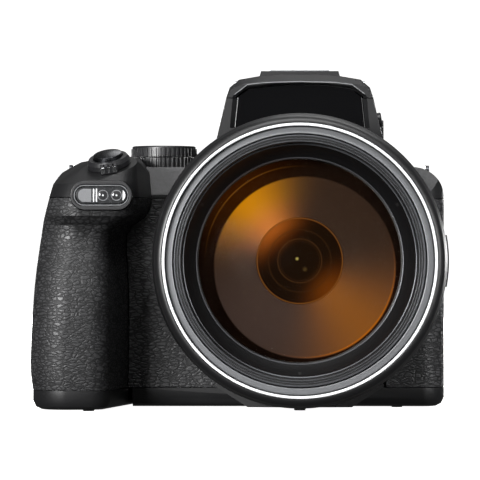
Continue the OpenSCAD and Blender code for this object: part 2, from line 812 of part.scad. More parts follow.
// Upright strap loops on both shoulders.
module eyelets() {
  color("#c4c7ca")
  for (e = [[loop_x, deck_z + 0.9], [loop_in, deck_z + 1.2]])
    difference() {
      union() {
        box(e[0], e[0] + 1.4, -5.5, 5.5, seam_z + 1.2, e[1] - 2);
        box(e[0], e[0] + 1.4, -3.5, 3.5, seam_z + 1.2, e[1]);
        for (y = [-3.5, 3.5])
          translate([e[0], y, e[1] - 2]) rotate([0, 90, 0]) cylinder(r = 2, h = 1.4);
      }
      box(e[0] - 1, e[0] + 3, -3, 3, e[1] - 3.1, e[1] - 1.1);
      for (y = [-3, 3])
        translate([e[0] - 1, y, e[1] - 2.1]) rotate([0, 90, 0]) cylinder(r = 1, h = 4);
    }
}

module eye_slice(y, w, h, r)
  translate([0, y, eye_z])
    rotate([90, 0, 0])
      linear_extrude(0.02)
        soft_rect(w, h, r, $fn = 32);

module eyecup() {
  y0 = y_rear + 12 + fit;
  y1 = y_rear + eye_reach;
  color("#18181a")
  difference() {
    hull() {
      eye_slice(y0 + 0.02, 37, 24, 7);
      eye_slice(y1 - 3, 42, 29, 10);
      eye_slice(y1, 40, 27, 9);
    }
    outline_y(y0 - 1, y1 + 1) translate([0, eye_z]) soft_rect(23, 15.5, 4);
    hull() {
      eye_slice(y1 - 7, 23.2, 15.7, 4);
      eye_slice(y1 + 0.1, 35, 22, 7);
    }
  }
}

module eyepiece_lens() {
  color("#8fa3b5")
  outline_y(y_rear + 8, y_rear + 11)
    translate([0, eye_z])
      square([20 - 2 * fit, 13 - 2 * fit], center = true);
}

// Inside the body

module chassis() {
  y0 = -ring_back + 1.5;
  z0 = floor_z + fit;
  color("#8d9094")
  difference() {
    union() {
      box(1.5 - hole_r, x_side - 7, y0, y0 + 1.5, z0, seam_z - 3);
      box(-30, 30, y0, 8, z0, z0 + 1.5);
      for (x = [-34, 34], z = [16, 62])
        translate([x, 9 - fit, z]) rotate([90, 0, 0]) cylinder(r = 2.5, h = 9 - fit - y0 - 1);
    }
    translate([0, 0, axis_z]) rotate([90, 0, 0]) cylinder(r = 14, h = 100, center = true);
    cylinder(r = 6.5 + fit, h = 20);
  }
}

module main_board() {
  color("#1f5a38") {
    box(5.5 - hole_r, x_side - 12.5, 9, 10.6, base_z + 5, seam_z - 6.8);
    box(-20, -6, 10.5, 12, 30, 44);
    box(2, 12, 10.5, 11.8, 36, 46);
    box(-34, -26, 10.5, 12.2, 18, 40);
    box(18, 32, 10.5, 12, 20, 28);
  }
}

module image_sensor() {
  y0 = -ring_back + 3 + fit;
  color("#2c5f8a") {
    box(-16, 16, y0, y0 + 1.2, axis_z - 13.8, axis_z + 13.8);
    box(-6.5, 6.5, y0 - 1.5, y0 + 0.1, axis_z - 5, axis_z + 5);
  }
}

module zoom_motor() {
  y0 = -ring_back + 3 + fit;
  color("#9a9da1") {
    box(15, 29, y0, y0 + 5, 22, 36);
    translate([22, y0 + 19, 29]) rotate([90, 0, 0]) cylinder(r = 6, h = 15);
  }
}

module battery_chamber() {
  z0 = floor_z + fit;
  color("#3a3b3d")
  difference() {
    union() {
      box(chamber_x0, chamber_x1, bat_y0 - run - chamber_wall, bat_y1 + run + chamber_wall, z0,
        bat_z0 + bat_h + 2.5);
      box(chamber_x0 - 2, chamber_x1 + 0.8, bat_y0 - 3, door_y1 - 6.5, z0, z0 + 1.2);
    }
    box(bat_x0 - run, bat_x0 + bat_x + run, bat_y0 - run, bat_y1 + run, 0, bat_z0 + bat_h + run);
  }
}

module battery() {
  color("#4c4e52")
  box(bat_x0, bat_x0 + bat_x, bat_y0, bat_y1, bat_z0, bat_z0 + bat_h);
}

module tripod_bush() {
  color("#a9a9a4")
  difference() {
    union() {
      cylinder(r = 6.5, h = 7.6);
      translate([0, 0, floor_z + 2 * fit + 1.5]) cylinder(r = 8.5, h = 1.5);
    }
    translate([0, 0, -1]) cylinder(r = bush_bore_r, h = bush_depth + 1);
  }
}

module screws() {
  color("#77797c")
  for (s = screw_spots)
    translate([s[0], s[1], 0])
      difference() {
        union() {
          translate([0, 0, foot_h + 0.2]) cylinder(r = 1.7, h = 0.75);
          translate([0, 0, foot_h + 0.5]) cylinder(r = 0.85, h = wall - 0.5);
        }
        for (q = [0, 90])
          rotate([0, 0, q]) box(-1.1, 1.1, -0.22, 0.22, 0, foot_h + 0.6);
      }
}

// Pins of the flash lid, the monitor, the battery door and the connector flap.
module hinge_pins() {
  color("#b4b7ba") {
    translate([0, pin_y, pin_z]) rotate([0, 90, 0]) cylinder(r = flash_pin_r, h = 46, center = true);
    translate([hinge_x, hinge_y, base_z + 0.4]) cylinder(r = mon_pin_r, h = seam_z - base_z - 0.8);
    translate([door_x0 - 2.8, door_y1, floor_z - 0.4])
      rotate([0, 90, 0])
        cylinder(r = 0.7, h = door_x1 - door_x0 + 5.6);
    translate([flap_x, flap_y1, flap_z0 - 2.4]) cylinder(r = 0.6, h = flap_z1 - flap_z0 + 4.8);
  }
}

// Lens, fixed pieces

module base_barrel() {
  color("#1f2022")
  difference() {
    union() {
      lathe()
        polygon([
          [barrel_in, face_a + fit], [base_barrel_r, face_a + fit],
          [base_barrel_r, face_a + base_barrel_l - 6], [bezel_r + 0.8, face_a + base_barrel_l],
          [barrel_in, face_a + base_barrel_l]
        ]);
      outline_y(y_face - 46, y_face - fit) plinth_plan();
      translate([0, y_face - 22, 0]) cylinder(r1 = 1.9, r2 = 2.4, h = plinth_z + 1);
    }
    lens_rod(barrel_in, 0, 100);
    on_side(face_a + 30, 0) box(-8.2, 8.2, -5.6, 5.6, 30, 60);
    on_side(face_a + 30, -24) cylinder(r = 3.2 + run, h = 60);
  }
}

module fixed_barrel() {
  color("#1d1d1f")
  lathe()
    polygon([
      [fixed_bore_r, 19], [tube_r, 19], [tube_r, face_a + 0.4], [barrel_in - 0.2, face_a + 0.4],
      [barrel_in - 0.2, ring_a0 - run], [tube_r, ring_a0 - run], [tube_r, front_a - 4],
      [fixed_bore_r, front_a - 4]
    ]);
}

module front_bezel() {
  color("#2b2c2e")
  lathe()
    polygon([
      [tube_r + fit, ring_a1 + run], [bezel_r - 0.3, ring_a1 + run], [bezel_r, ring_a1 + run + 0.3],
      [bezel_r, front_a - 3.4], [bezel_r - 0.4, front_a - 1.9], [bezel_r - 1.2, front_a - 0.8],
      [trim_r + 0.4, front_a - 0.3], [trim_r + fit, front_a - 0.3],
      [trim_r + fit, front_a - 2.5], [fixed_bore_r, front_a - 2.5], [fixed_bore_r, front_a - 3.8],
      [tube_r + fit, front_a - 3.8]
    ]);
}

module trim_ring() {
  color("#e3e5e7")
  lathe()
    polygon([
      [fixed_bore_r, front_a - 2.4], [trim_r, front_a - 2.4], [trim_r, front_a - 0.15], [trim_r - 0.15, front_a],
      [fixed_bore_r + 0.15, front_a], [fixed_bore_r, front_a - 0.15]
    ]);
}

module lens_base() {
  color("#2a2b2d")
  lathe()
    polygon([
      [10, 19.05], [fixed_bore_r - fit, 19.05], [fixed_bore_r - fit, 22], [15, 22], [15, 28.5],
      [12.5, 28.5], [12.5, 22], [10, 22]
    ]);
}

// Lens, turning and sliding pieces

module control_ring() {
  color("#1a1a1b")
  translate([0, -ring_a0, axis_z])
    rotate([90, 0, 0])
      difference() {
        union() {
          translate([0, 0, 1]) linear_extrude(ring_l - 2) grooved(bezel_r + 0.5, rib_depth + 0.5, ring_ribs);
          cylinder(r = bezel_r - 0.2, h = 1.4, $fn = 240);
          translate([0, 0, ring_l - 1.4]) cylinder(r = bezel_r - 0.2, h = 1.4, $fn = 240);
        }
        translate([0, 0, -1]) cylinder(r = tube_r + turn, h = ring_l + 2, $fn = 240);
      }
}

module mid_barrel() {
  color("#34363a")
  lathe()
    polygon([
      [mid_in, 30], [mid_r, 30], [mid_r, front_a - 1.2], [mid_r - 0.3, front_a - 0.8],
      [mid_in + 0.3, front_a - 2.4], [mid_in, front_a - 2.8]
    ]);
}

module inner_cell() {
  color("#141415") {
    lathe()
      polygon([
        [13, 30], [mid_in - fit, 30], [mid_in - fit, 33], [17.2, 33], [17.2, front_a - 59.5],
        [inner_r + 0.4, front_a - 59.5], [inner_r + 0.4, 31.5], [13, 31.5]
      ]);
    lathe() translate([iris_r, front_a - 74]) square([inner_r + 0.6 - iris_r, 1.6]);
  }
}

module inner_lens() {
  color("#5a3a22")
  lathe()
    intersection() {
      translate([0, front_a - 61 - 30]) circle(30);
      translate([0, front_a - 67]) square([inner_r + 0.3, 20]);
    }
}

module front_barrel() {
  color("#1b1b1d")
  lathe()
    polygon([
      [front_in, 36], [front_r, 36], [front_r, front_a - 0.7], [front_r - 0.3, front_a - 0.4],
      [filter_bore_r + 0.4, front_a - 0.4], [filter_bore_r, front_a - 0.8], [filter_bore_r, seat_a],
      [front_in, seat_a]
    ]);
}

module retaining_ring() {
  color("#0f0f10")
  lathe()
    polygon([
      [front_in - fit, cone_a], [37.5, cone_a], [glass_r, cone_a - 7.2], [glass_r + 0.6, cone_a - 8],
      [front_in - fit, cone_a - 8]
    ]);
}

module front_glass() {
  color("#6b4526")
  lathe()
    intersection() {
      translate([0, glass_a - glass_curve]) circle(glass_curve, $fn = 180);
      translate([0, glass_a - 10.3]) square([front_in - fit, 20]);
    }
}

module front_cell() {
  color("#171718")
  lathe()
    polygon([
      [front_in - fit, glass_a - 10.5], [35.2, glass_a - 10.5], [34.2, glass_a - 12], [34.2, glass_a - 20],
      [31, glass_a - 21.5], [18.5, front_a - 58.5], [19.7, front_a - 58.5], [32.6, glass_a - 23],
      [front_in - fit, glass_a - 23]
    ]);
}

module second_glass() {
  color("#7a4a22")
  lathe()
    difference() {
      intersection() {
        translate([0, glass_a - 11.5 - 70]) circle(70, $fn = 180);
        translate([0, glass_a - 20 + fit]) square([34.2 - fit, 20]);
      }
      translate([0, glass_a - 16 - 62]) circle(60, $fn = 180);
    }
}

module side_lever() {
  color("#1d1d1f") {
    intersection() {
      lathe() translate([base_barrel_r + run, face_a + 21]) square([0.6, 18]);
      on_side(face_a + 30, 0) box(-8.8, 8.8, -20, 20, 20, 70);
    }
    on_side(face_a + 30, 0) box(-2, 2, -5, 5, barrel_in + run, base_barrel_r + run + 0.3);
  }
}

module snapback_button() {
  color("#1d1d1f")
  on_side(face_a + 30, -24) translate([0, 0, barrel_in + 0.9]) cylinder(r = 3.2, h = 2.4);
}

// Top controls

module shutter_button() {
  color("#2d2e30")
  on_shutter() {
    translate([0, 0, -5]) cylinder(r = 2, h = 8);
    translate([0, 0, 2.3])
      intersection() {
        cylinder(r = shutter_r, h = 4);
        translate([0, 0, 2.6 - 22]) sphere(r = 22, $fn = 96);
      }
  }
}

module zoom_lever() {
  color("#222325")
  on_shutter()
    difference() {
      union() {
        translate([0, 0, run]) cylinder(r = lever_r, h = 1.7);
        translate([0, 0, run + 1.6]) cylinder(r1 = lever_r, r2 = lever_r - 0.8, h = 1.3);
        translate([-2.8, -9.6, run]) cube([5.6, 5, 2.6]);
      }
      translate([0, 0, -1]) cylinder(r = shutter_r + run + 0.1, h = 10);
      for (x = [-1.6, 0, 1.6])
        translate([x - 0.3, -10, run + 2]) cube([0.6, 3, 2]);
    }
}

module dial_collar() {
  color("#1e1f21")
  translate([-dial_x, 0, deck_z + 0.1])
    difference() {
      linear_extrude(collar_h) grooved(dial_r - 0.2, 0.4, dial_grooves);
      translate([0, 0, -1]) cylinder(r = 2.5 + turn, h = 10);
    }
}

module mode_dial() {
  color("#1e1f21")
  translate([-dial_x, 0, deck_z + 0.1 + collar_h + run]) {
    translate([0, 0, -collar_h - 4]) cylinder(r = 2.5, h = collar_h + 5);
    linear_extrude(dial_h - 1) grooved(dial_r, 0.45, dial_grooves);
    rotate_extrude() {
      square([dial_r - 1.1, dial_h]);
      square([dial_r - 0.4, dial_h - 0.7]);
      translate([dial_r - 1.1, dial_h - 0.7]) intersection() {
        circle(0.7);
        square(2);
      }
    }
  }
}

module command_dial() {
  color("#1e1f21")
  translate([command_x, command_y, deck_z - 8]) {
    linear_extrude(4.7) grooved(command_r, 0.5, 40);
    cylinder(r = 1.5, h = 6.9);
  }
}

module power_button() {
  color("#2d2e30")
  translate([power_x, power_y, power_z]) button(top_button_r, 1);
}

module flash_head() {
  color("#26272a")
  difference() {
    union() {
      intersection() {
        hump_body();
        lid_space(0);
      }
      box(-16.5, 16.5, y_plate + 4.8, pin_y - 6, lid_z - 3.2, lid_z + 1);
    }
    plate_dish();
    outline_y(y_hump - 1, y_plate + 4.8)
      polygon(both([[23, 95], [22, lid_z + 0.5], [18.1, lid_z + 3.5], [9, lid_z + 4.6], [0.5, lid_z + 4.9]]));
    box(-15.5, 15.5, y_plate + 4, y_plate + 5.6, lid_z - 2.6, lid_z + 3);
    translate([0, pin_y, pin_z]) rotate([0, 90, 0]) cylinder(r = flash_pin_r + turn, h = 60, center = true);
  }
}

module flash_window() {
  color("#dfe6ea")
  box(-15.3, 15.3, y_plate + 3.8, y_plate + 5.4, lid_z - 2.4, lid_z + 2.8);
}

module flash_button() {
  color("#2d2e30")
  on_flank() button(2.6, 1);
}

module diopter_dial() {
  color("#1e1f21")
  translate([27.6, y_face + 40, deck_z + 13])
    rotate([0, 90, 0]) {
      linear_extrude(2.4) grooved(4.6, 0.4, 24);
      translate([0, 0, -5]) cylinder(r = 1.5, h = 5.5);
    }
}

// Rear

module monitor() {
  zc = mon_z0 + mon_h / 2;
  color("#202123")
  difference() {
    union() {
      outline_y(mon_front, mon_back) translate([mon_x0 + mon_w / 2, zc]) soft_rect(mon_w, mon_h, 3);
      translate([hinge_x, hinge_y, mon_z0 + 6]) cylinder(r = 3.7, h = mon_h - 12);
      box(mon_x1 - 1, hinge_x, hinge_y - 2, hinge_y + 2.6, mon_z0 + 6, mon_z0 + mon_h - 6);
    }
    translate([hinge_x, hinge_y, 0]) cylinder(r = mon_pin_r + turn, h = 100);
    outline_y(mon_back - 1.2, mon_back + 1)
      translate([mon_x0 + mon_w / 2, zc])
        soft_rect(mon_w - 5, mon_h - 5, 1.5);
  }
}

module monitor_glass() {
  color("#0e1013")
  outline_y(mon_back - 1.1, mon_back - 0.1)
    translate([mon_x0 + mon_w / 2, mon_z0 + mon_h / 2])
      soft_rect(mon_w - 5 - 2 * fit, mon_h - 5 - 2 * fit, 1.4);
}

module movie_button() color("#7d1f1f") on_rear(movie_at[0], movie_at[1]) button(rear_button_r, 0.6);
module lock_button() color("#2d2e30") on_rear(lock_at[0], lock_at[1]) button(rear_button_r, 0.9);
module play_button() color("#2d2e30") on_rear(play_at[0], play_at[1]) button(rear_button_r, 0.9);
module menu_button() color("#2d2e30") on_rear(menu_at[0], menu_at[1]) button(rear_button_r, 0.9);
module delete_button() color("#2d2e30") on_rear(delete_at[0], delete_at[1]) button(rear_button_r, 0.9);

module selector_wheel() {
  color("#1e1f21")
  on_rear(wheel_x, wheel_z)
    difference() {
      union() {
        translate([0, 0, -0.8]) cylinder(r = wheel_r, h = 2);
        translate([0, 0, 1.19]) cylinder(r1 = wheel_r, r2 = wheel_r - 0.8, h = 0.61);
      }
      translate([0, 0, -2]) cylinder(r = ok_r + 1 + turn, h = 6);
      for (q = [0 : 3])
        rotate([0, 0, q * 90]) translate([9.3, 0, 3]) sphere(r = 1.8, $fn = 24);
    }
}

module ok_button() color("#2d2e30") on_rear(wheel_x, wheel_z) button(ok_r, 1);

// Doors

module battery_door() {
  color("#232426")
  difference() {
    union() {
      box(door_x0, door_x1, door_y0, door_y1, foot_h + 0.05, foot_h + door_t);
      translate([door_x0, door_y1, floor_z - 0.4])
        rotate([0, 90, 0])
          cylinder(r = 1.4, h = door_x1 - door_x0);
    }
    translate([door_x0 - 1, door_y1, floor_z - 0.4]) rotate([0, 90, 0]) cylinder(r = 0.7 + turn, h = 60);
    for (i = [0 : 3])
      box(door_x0 + 6, door_x1 - 6, door_y0 + 3 + i * 1.4, door_y0 + 3.7 + i * 1.4, 0, foot_h + 0.5);
  }
}

module connector_flap() {
  color("#1b1b1c")
  difference() {
    union() {
      box(x_side - 2.4, x_side, flap_y0, flap_y1, flap_z0, flap_z1);
      translate([flap_x, flap_y1, flap_z0]) cylinder(r = 1.2, h = flap_z1 - flap_z0);
    }
    translate([flap_x, flap_y1, 0]) cylinder(r = 0.6 + turn, h = 100);
    box(x_side - 0.5, x_side + 1, flap_y0 - 1, flap_y0 + 1.5, flap_z0 + 14, flap_z1 - 14);
  }
}

front_cover();
rear_cover();
top_cover();
bottom_cover();
grip_skin();
face_skins();
thumb_rest();
name_plate();
lamp_housing();
lamp_window();
hot_shoe();
eyelets();
eyecup();
eyepiece_lens();
chassis();
main_board();
image_sensor();
zoom_motor();
battery_chamber();
battery();
tripod_bush();
screws();
hinge_pins();
dial_collar();
base_barrel();
fixed_barrel();
front_bezel();
trim_ring();
lens_base();
control_ring();
mid_barrel();
inner_cell();
inner_lens();
front_barrel();
retaining_ring();
front_glass();
front_cell();
second_glass();
side_lever();
snapback_button();
shutter_button();
zoom_lever();
mode_dial();
command_dial();
power_button();
flash_head();
flash_window();
flash_button();
diopter_dial();
monitor();
monitor_glass();
movie_button();
lock_button();
play_button();
menu_button();
delete_button();
selector_wheel();
ok_button();
battery_door();
connector_flap();
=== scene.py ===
import json
import math

import bmesh
import bpy
from mathutils import Matrix, Vector
from mathutils.bvhtree import BVHTree

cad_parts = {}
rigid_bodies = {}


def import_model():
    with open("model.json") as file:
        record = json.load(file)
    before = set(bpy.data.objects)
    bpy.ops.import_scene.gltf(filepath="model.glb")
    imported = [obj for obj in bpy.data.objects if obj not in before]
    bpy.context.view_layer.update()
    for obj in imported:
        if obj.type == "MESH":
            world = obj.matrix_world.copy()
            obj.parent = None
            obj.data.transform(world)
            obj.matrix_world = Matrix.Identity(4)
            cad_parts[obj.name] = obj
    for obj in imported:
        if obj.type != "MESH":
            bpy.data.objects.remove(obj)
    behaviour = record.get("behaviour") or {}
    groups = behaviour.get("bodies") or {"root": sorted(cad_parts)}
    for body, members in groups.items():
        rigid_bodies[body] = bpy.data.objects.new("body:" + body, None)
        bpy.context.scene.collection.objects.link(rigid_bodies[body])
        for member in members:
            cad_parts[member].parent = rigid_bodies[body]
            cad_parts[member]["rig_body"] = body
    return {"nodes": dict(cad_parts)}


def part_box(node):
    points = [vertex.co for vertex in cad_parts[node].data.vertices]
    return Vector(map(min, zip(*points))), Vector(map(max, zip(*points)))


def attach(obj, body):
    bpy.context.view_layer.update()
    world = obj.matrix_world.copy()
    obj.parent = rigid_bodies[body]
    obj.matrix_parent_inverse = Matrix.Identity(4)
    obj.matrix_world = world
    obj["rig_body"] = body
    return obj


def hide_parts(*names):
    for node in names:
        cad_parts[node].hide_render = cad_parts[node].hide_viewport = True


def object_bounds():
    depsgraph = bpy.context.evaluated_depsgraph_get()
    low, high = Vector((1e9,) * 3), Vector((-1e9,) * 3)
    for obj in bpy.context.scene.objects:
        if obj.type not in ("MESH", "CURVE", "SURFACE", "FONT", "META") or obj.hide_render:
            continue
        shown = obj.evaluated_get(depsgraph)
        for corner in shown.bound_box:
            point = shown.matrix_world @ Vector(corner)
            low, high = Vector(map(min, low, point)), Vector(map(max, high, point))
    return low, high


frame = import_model()
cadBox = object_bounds()
nodes = frame["nodes"]
mm = 0.001
weld = 0.001 * mm  # corners closer than this become one
axisZ = 51.2  # height of the lens axis, mm
print("frame loaded:", len(nodes), "nodes")


# sRGB hex to the linear colour a shader takes
def linear(code):
    channels = [int(code[i:i + 2], 16) / 255 for i in (1, 3, 5)]
    return [c / 12.92 if c <= 0.04045 else ((c + 0.055) / 1.055) ** 2.4 for c in channels] + [1.0]


# adds a node; an input is a value or the socket that feeds it
def addNode(tree, kind, inputs=None, **settings):
    node = tree.nodes.new(kind)
    for name, value in settings.items():
        setattr(node, name, value)
    for name, value in (inputs or {}).items():
        if isinstance(value, bpy.types.NodeSocket):
            tree.links.new(value, node.inputs[name])
        else:
            node.inputs[name].default_value = value
    return node


# a material with its shader's fixed values set, and what the patterns hang on
def newFinish(name, values):
    finish = bpy.data.materials.new(name)
    finish.use_nodes = True
    tree = finish.node_tree
    shader = tree.nodes["Principled BSDF"]
    for key, value in values.items():
        shader.inputs[key].default_value = value
    place = addNode(tree, "ShaderNodeTexCoord").outputs["Object"]
    return finish, tree, shader, place


def perMetre(sizeMm):  # texture scale for a feature of this size
    return 1000 / sizeMm


def vertsOf(geometry):  # the corners among what an operator made
    return [part for part in geometry if isinstance(part, bmesh.types.BMVert)]


# camera

view = {"eye": (0, -1.385, 0.0512), "target": (-0.0192, -0.130, 0.0579), "far": 20,  # metres
        "focal": 293, "sensor": 36}  # mm

cameraData = bpy.data.cameras.new("photoView")
cameraData.lens = view["focal"]
cameraData.sensor_width = view["sensor"]
cameraData.clip_end = view["far"]
camera = bpy.data.objects.new("photoView", cameraData)
camera.location = view["eye"]
aim = Vector(view["target"]) - Vector(view["eye"])
camera.rotation_euler = aim.to_track_quat("-Z", "Y").to_euler()
bpy.context.scene.collection.objects.link(camera)
bpy.context.scene.camera = camera
bpy.context.scene.view_settings.view_transform = "Standard"


# floor and backdrop in one round sweep: a floor that curves up into a wall on every side

sweep = {"floor": 5.2, "radius": 0.8, "height": 4.0, "steps": 20, "around": 72,  # metres
         "paper": "#f6f6f5", "glow": 1.1, "rough": 0.9, "fibre": 2, "press": 0.04, "depth": 0.2}

bm = bmesh.new()
middle, rim = [bm.verts.new((x, 0, 0)) for x in (0, sweep["floor"])]
bm.edges.new((middle, rim))
out = bmesh.ops.spin(bm, geom=[rim], cent=(sweep["floor"], 0, sweep["radius"]), axis=(0, -1, 0),
                     angle=math.radians(90), steps=sweep["steps"])
rim = vertsOf(out["geom_last"])[0]
bm.edges.new((rim, bm.verts.new((rim.co.x, 0, sweep["height"]))))
bmesh.ops.spin(bm, geom=[*bm.verts, *bm.edges], cent=(0, 0, 0), axis=(0, 0, 1), angle=math.tau,
               steps=sweep["around"], use_merge=True)
bmesh.ops.remove_doubles(bm, verts=bm.verts, dist=weld)
bmesh.ops.recalc_face_normals(bm, faces=bm.faces)
for face in bm.faces:
    face.smooth = True
sweepMesh = bpy.data.meshes.new("paperSweep")
bm.to_mesh(sweepMesh)
bm.free()
paperSweep = bpy.data.objects.new("paperSweep", sweepMesh)
bpy.context.scene.collection.objects.link(paperSweep)
paperSweep.visible_glossy = False  # black flags keep the white paper out of the gloss
paperSweep.visible_diffuse = False
# matt paper with light behind it: even white, with a faint fibre
paper, tree, shader, place = newFinish("matt studio paper", {
    "Base Color": linear(sweep["paper"]), "Roughness": sweep["rough"],
    "Emission Color": linear(sweep["paper"]), "Emission Strength": sweep["glow"]})
fibre = addNode(tree, "ShaderNodeTexNoise", {"Vector": place, "Scale": perMetre(sweep["fibre"])})
bump = addNode(tree, "ShaderNodeBump", {"Height": fibre.outputs["Fac"], "Strength": sweep["press"],
                                        "Distance": sweep["depth"] * mm})
tree.links.new(bump.outputs["Normal"], shader.inputs["Normal"])
sweepMesh.materials.append(paper)


# soft studio light: where each lamp stands, what it points at, its size in metres and its power in watts

lamps = {
    "keyBox": {"at": (-1.2, -1.9, 0.36), "to": (-0.03, -0.05, 0.06), "size": (0.9, 0.6), "watts": 84},
    "topBox": {"at": (-0.05, -0.75, 1.35), "to": (0, -0.05, 0.05), "size": (1.2, 0.7), "watts": 20},
    "frontFill": {"at": (1.2, -1.5, 0.3), "to": (0, 0, 0.05), "size": (0.9, 0.6), "watts": 20},
    "leftBox": {"at": (-1.6, 0.9, 0.6), "to": (0, -0.03, 0.06), "size": (0.8, 1.2), "watts": 30},
    "rightBox": {"at": (1.8, 0.2, 0.6), "to": (0, -0.03, 0.06), "size": (0.9, 1.2), "watts": 60},
    "rearBox": {"at": (0.3, 2.0, 0.7), "to": (0, 0, 0.05), "size": (2.0, 1.2), "watts": 120},
    "backBox": {"at": (0.3, 1.2, 1.5), "to": (0, 0, 0.05), "size": (1.2, 0.8), "watts": 7},
    "rearStrip": {"at": (0.3, 1.9, 0.1), "to": (0, 0, 0.05), "size": (2.0, 0.16), "watts": 14},
}
polarised = ("leftBox", "rightBox", "rearBox")  # these light the surfaces and leave no glare on them

for name, lamp in lamps.items():
    lampData = bpy.data.lights.new(name, "AREA")
    lampData.shape = "RECTANGLE"
    lampData.size, lampData.size_y = lamp["size"]
    lampData.energy = lamp["watts"]
    lampObject = bpy.data.objects.new(name, lampData)
    lampObject.location = lamp["at"]
    lampObject.visible_camera = False
    lampObject.visible_glossy = name not in polarised
    aim = Vector(lamp["to"]) - Vector(lamp["at"])
    lampObject.rotation_euler = aim.to_track_quat("-Z", "Y").to_euler()
    bpy.context.scene.collection.objects.link(lampObject)

roomLight = {"colour": "#ffffff", "strength": 0.06}
world = bpy.data.worlds.new("studioRoom")
world.use_nodes = True
world.node_tree.nodes["Background"].inputs["Color"].default_value = linear(roomLight["colour"])
world.node_tree.nodes["Background"].inputs["Strength"].default_value = roomLight["strength"]
bpy.context.scene.world = world
print("camera, sweep and lamps set")


# materials

# rubber skin with a pressed leather grain: flat pebbles wider than they are high, between thin creases, and a
# few long wrinkles across them; the creases and wrinkles are painted darker than the tops, as painted shade
skinLook = {"top": "#303031", "crease": "#0c0c0d", "pebble": 2.5, "squash": 2.3, "drift": 3.2,
            "wander": (1.7, 1.7, 0.7), "wrinkle": 9, "edge": 0.24, "fold": 0.05, "fine": 0.5,
            "fineShare": 0.15, "press": 0.8, "depth": 0.12, "rough": (0.6, 0.42)}
skinFinish, tree, shader, place = newFinish("leather-grained rubber", {"IOR": 1.45})
drift = addNode(tree, "ShaderNodeTexNoise", {
    "Vector": place, "Scale": perMetre(skinLook["drift"]), "Detail": 2.0})
shift = addNode(tree, "ShaderNodeVectorMath", {0: drift.outputs["Color"], 1: (0.5, 0.5, 0.5)},
                operation="SUBTRACT")
shift = addNode(tree, "ShaderNodeVectorMath", {0: shift.outputs[0], 1: [v * mm for v in skinLook["wander"]]},
                operation="MULTIPLY")
bent = addNode(tree, "ShaderNodeVectorMath", {0: place, 1: shift.outputs[0]}, operation="ADD")
flat = addNode(tree, "ShaderNodeVectorMath", {0: bent.outputs[0], 1: (1, 1, skinLook["squash"])},
               operation="MULTIPLY")
levels = []
for size, thin in ((skinLook["pebble"], skinLook["edge"]), (skinLook["wrinkle"], skinLook["fold"])):
    cells = addNode(tree, "ShaderNodeTexVoronoi", {"Vector": flat.outputs[0], "Scale": perMetre(size)},
                    feature="DISTANCE_TO_EDGE")
    levels.append(addNode(tree, "ShaderNodeMapRange", {"Value": cells.outputs["Distance"], "From Max": thin},
                          interpolation_type="SMOOTHSTEP").outputs["Result"])
grain = addNode(tree, "ShaderNodeMath", {0: levels[0], 1: levels[1]}, operation="MULTIPLY").outputs[0]
fine = addNode(tree, "ShaderNodeTexNoise", {
    "Vector": place, "Scale": perMetre(skinLook["fine"]), "Detail": 2.0})
height = addNode(tree, "ShaderNodeMath", {0: fine.outputs["Fac"], 1: skinLook["fineShare"], 2: grain},
                 operation="MULTIPLY_ADD")
# painted shade: creases and wrinkles darker than the pebble tops
tone = addNode(tree, "ShaderNodeMix", {"Factor": grain, 6: linear(skinLook["crease"]),
                                       7: linear(skinLook["top"])}, data_type="RGBA")
rough = addNode(tree, "ShaderNodeMapRange", {"Value": grain, "To Min": skinLook["rough"][0],
                                             "To Max": skinLook["rough"][1]})
bump = addNode(tree, "ShaderNodeBump", {"Height": height.outputs[0], "Strength": skinLook["press"],
                                        "Distance": skinLook["depth"] * mm})
tree.links.new(tone.outputs[2], shader.inputs["Base Color"])
tree.links.new(rough.outputs["Result"], shader.inputs["Roughness"])
tree.links.new(bump.outputs["Normal"], shader.inputs["Normal"])

# acrylic polished to a mirror gloss, with the faint waviness of a moulded plate
glossLook = {"colour": "#060607", "wave": 22, "rough": (0.05, 0.1)}
glossFinish, tree, shader, place = newFinish("polished black acrylic", {
    "Base Color": linear(glossLook["colour"]), "IOR": 1.49, "Coat Weight": 0.4, "Coat Roughness": 0.02})
wave = addNode(tree, "ShaderNodeTexNoise", {"Vector": place, "Scale": perMetre(glossLook["wave"])})
rough = addNode(tree, "ShaderNodeMapRange", {"Value": wave.outputs["Fac"], "To Min": glossLook["rough"][0],
                                             "To Max": glossLook["rough"][1]})
tree.links.new(rough.outputs["Result"], shader.inputs["Roughness"])

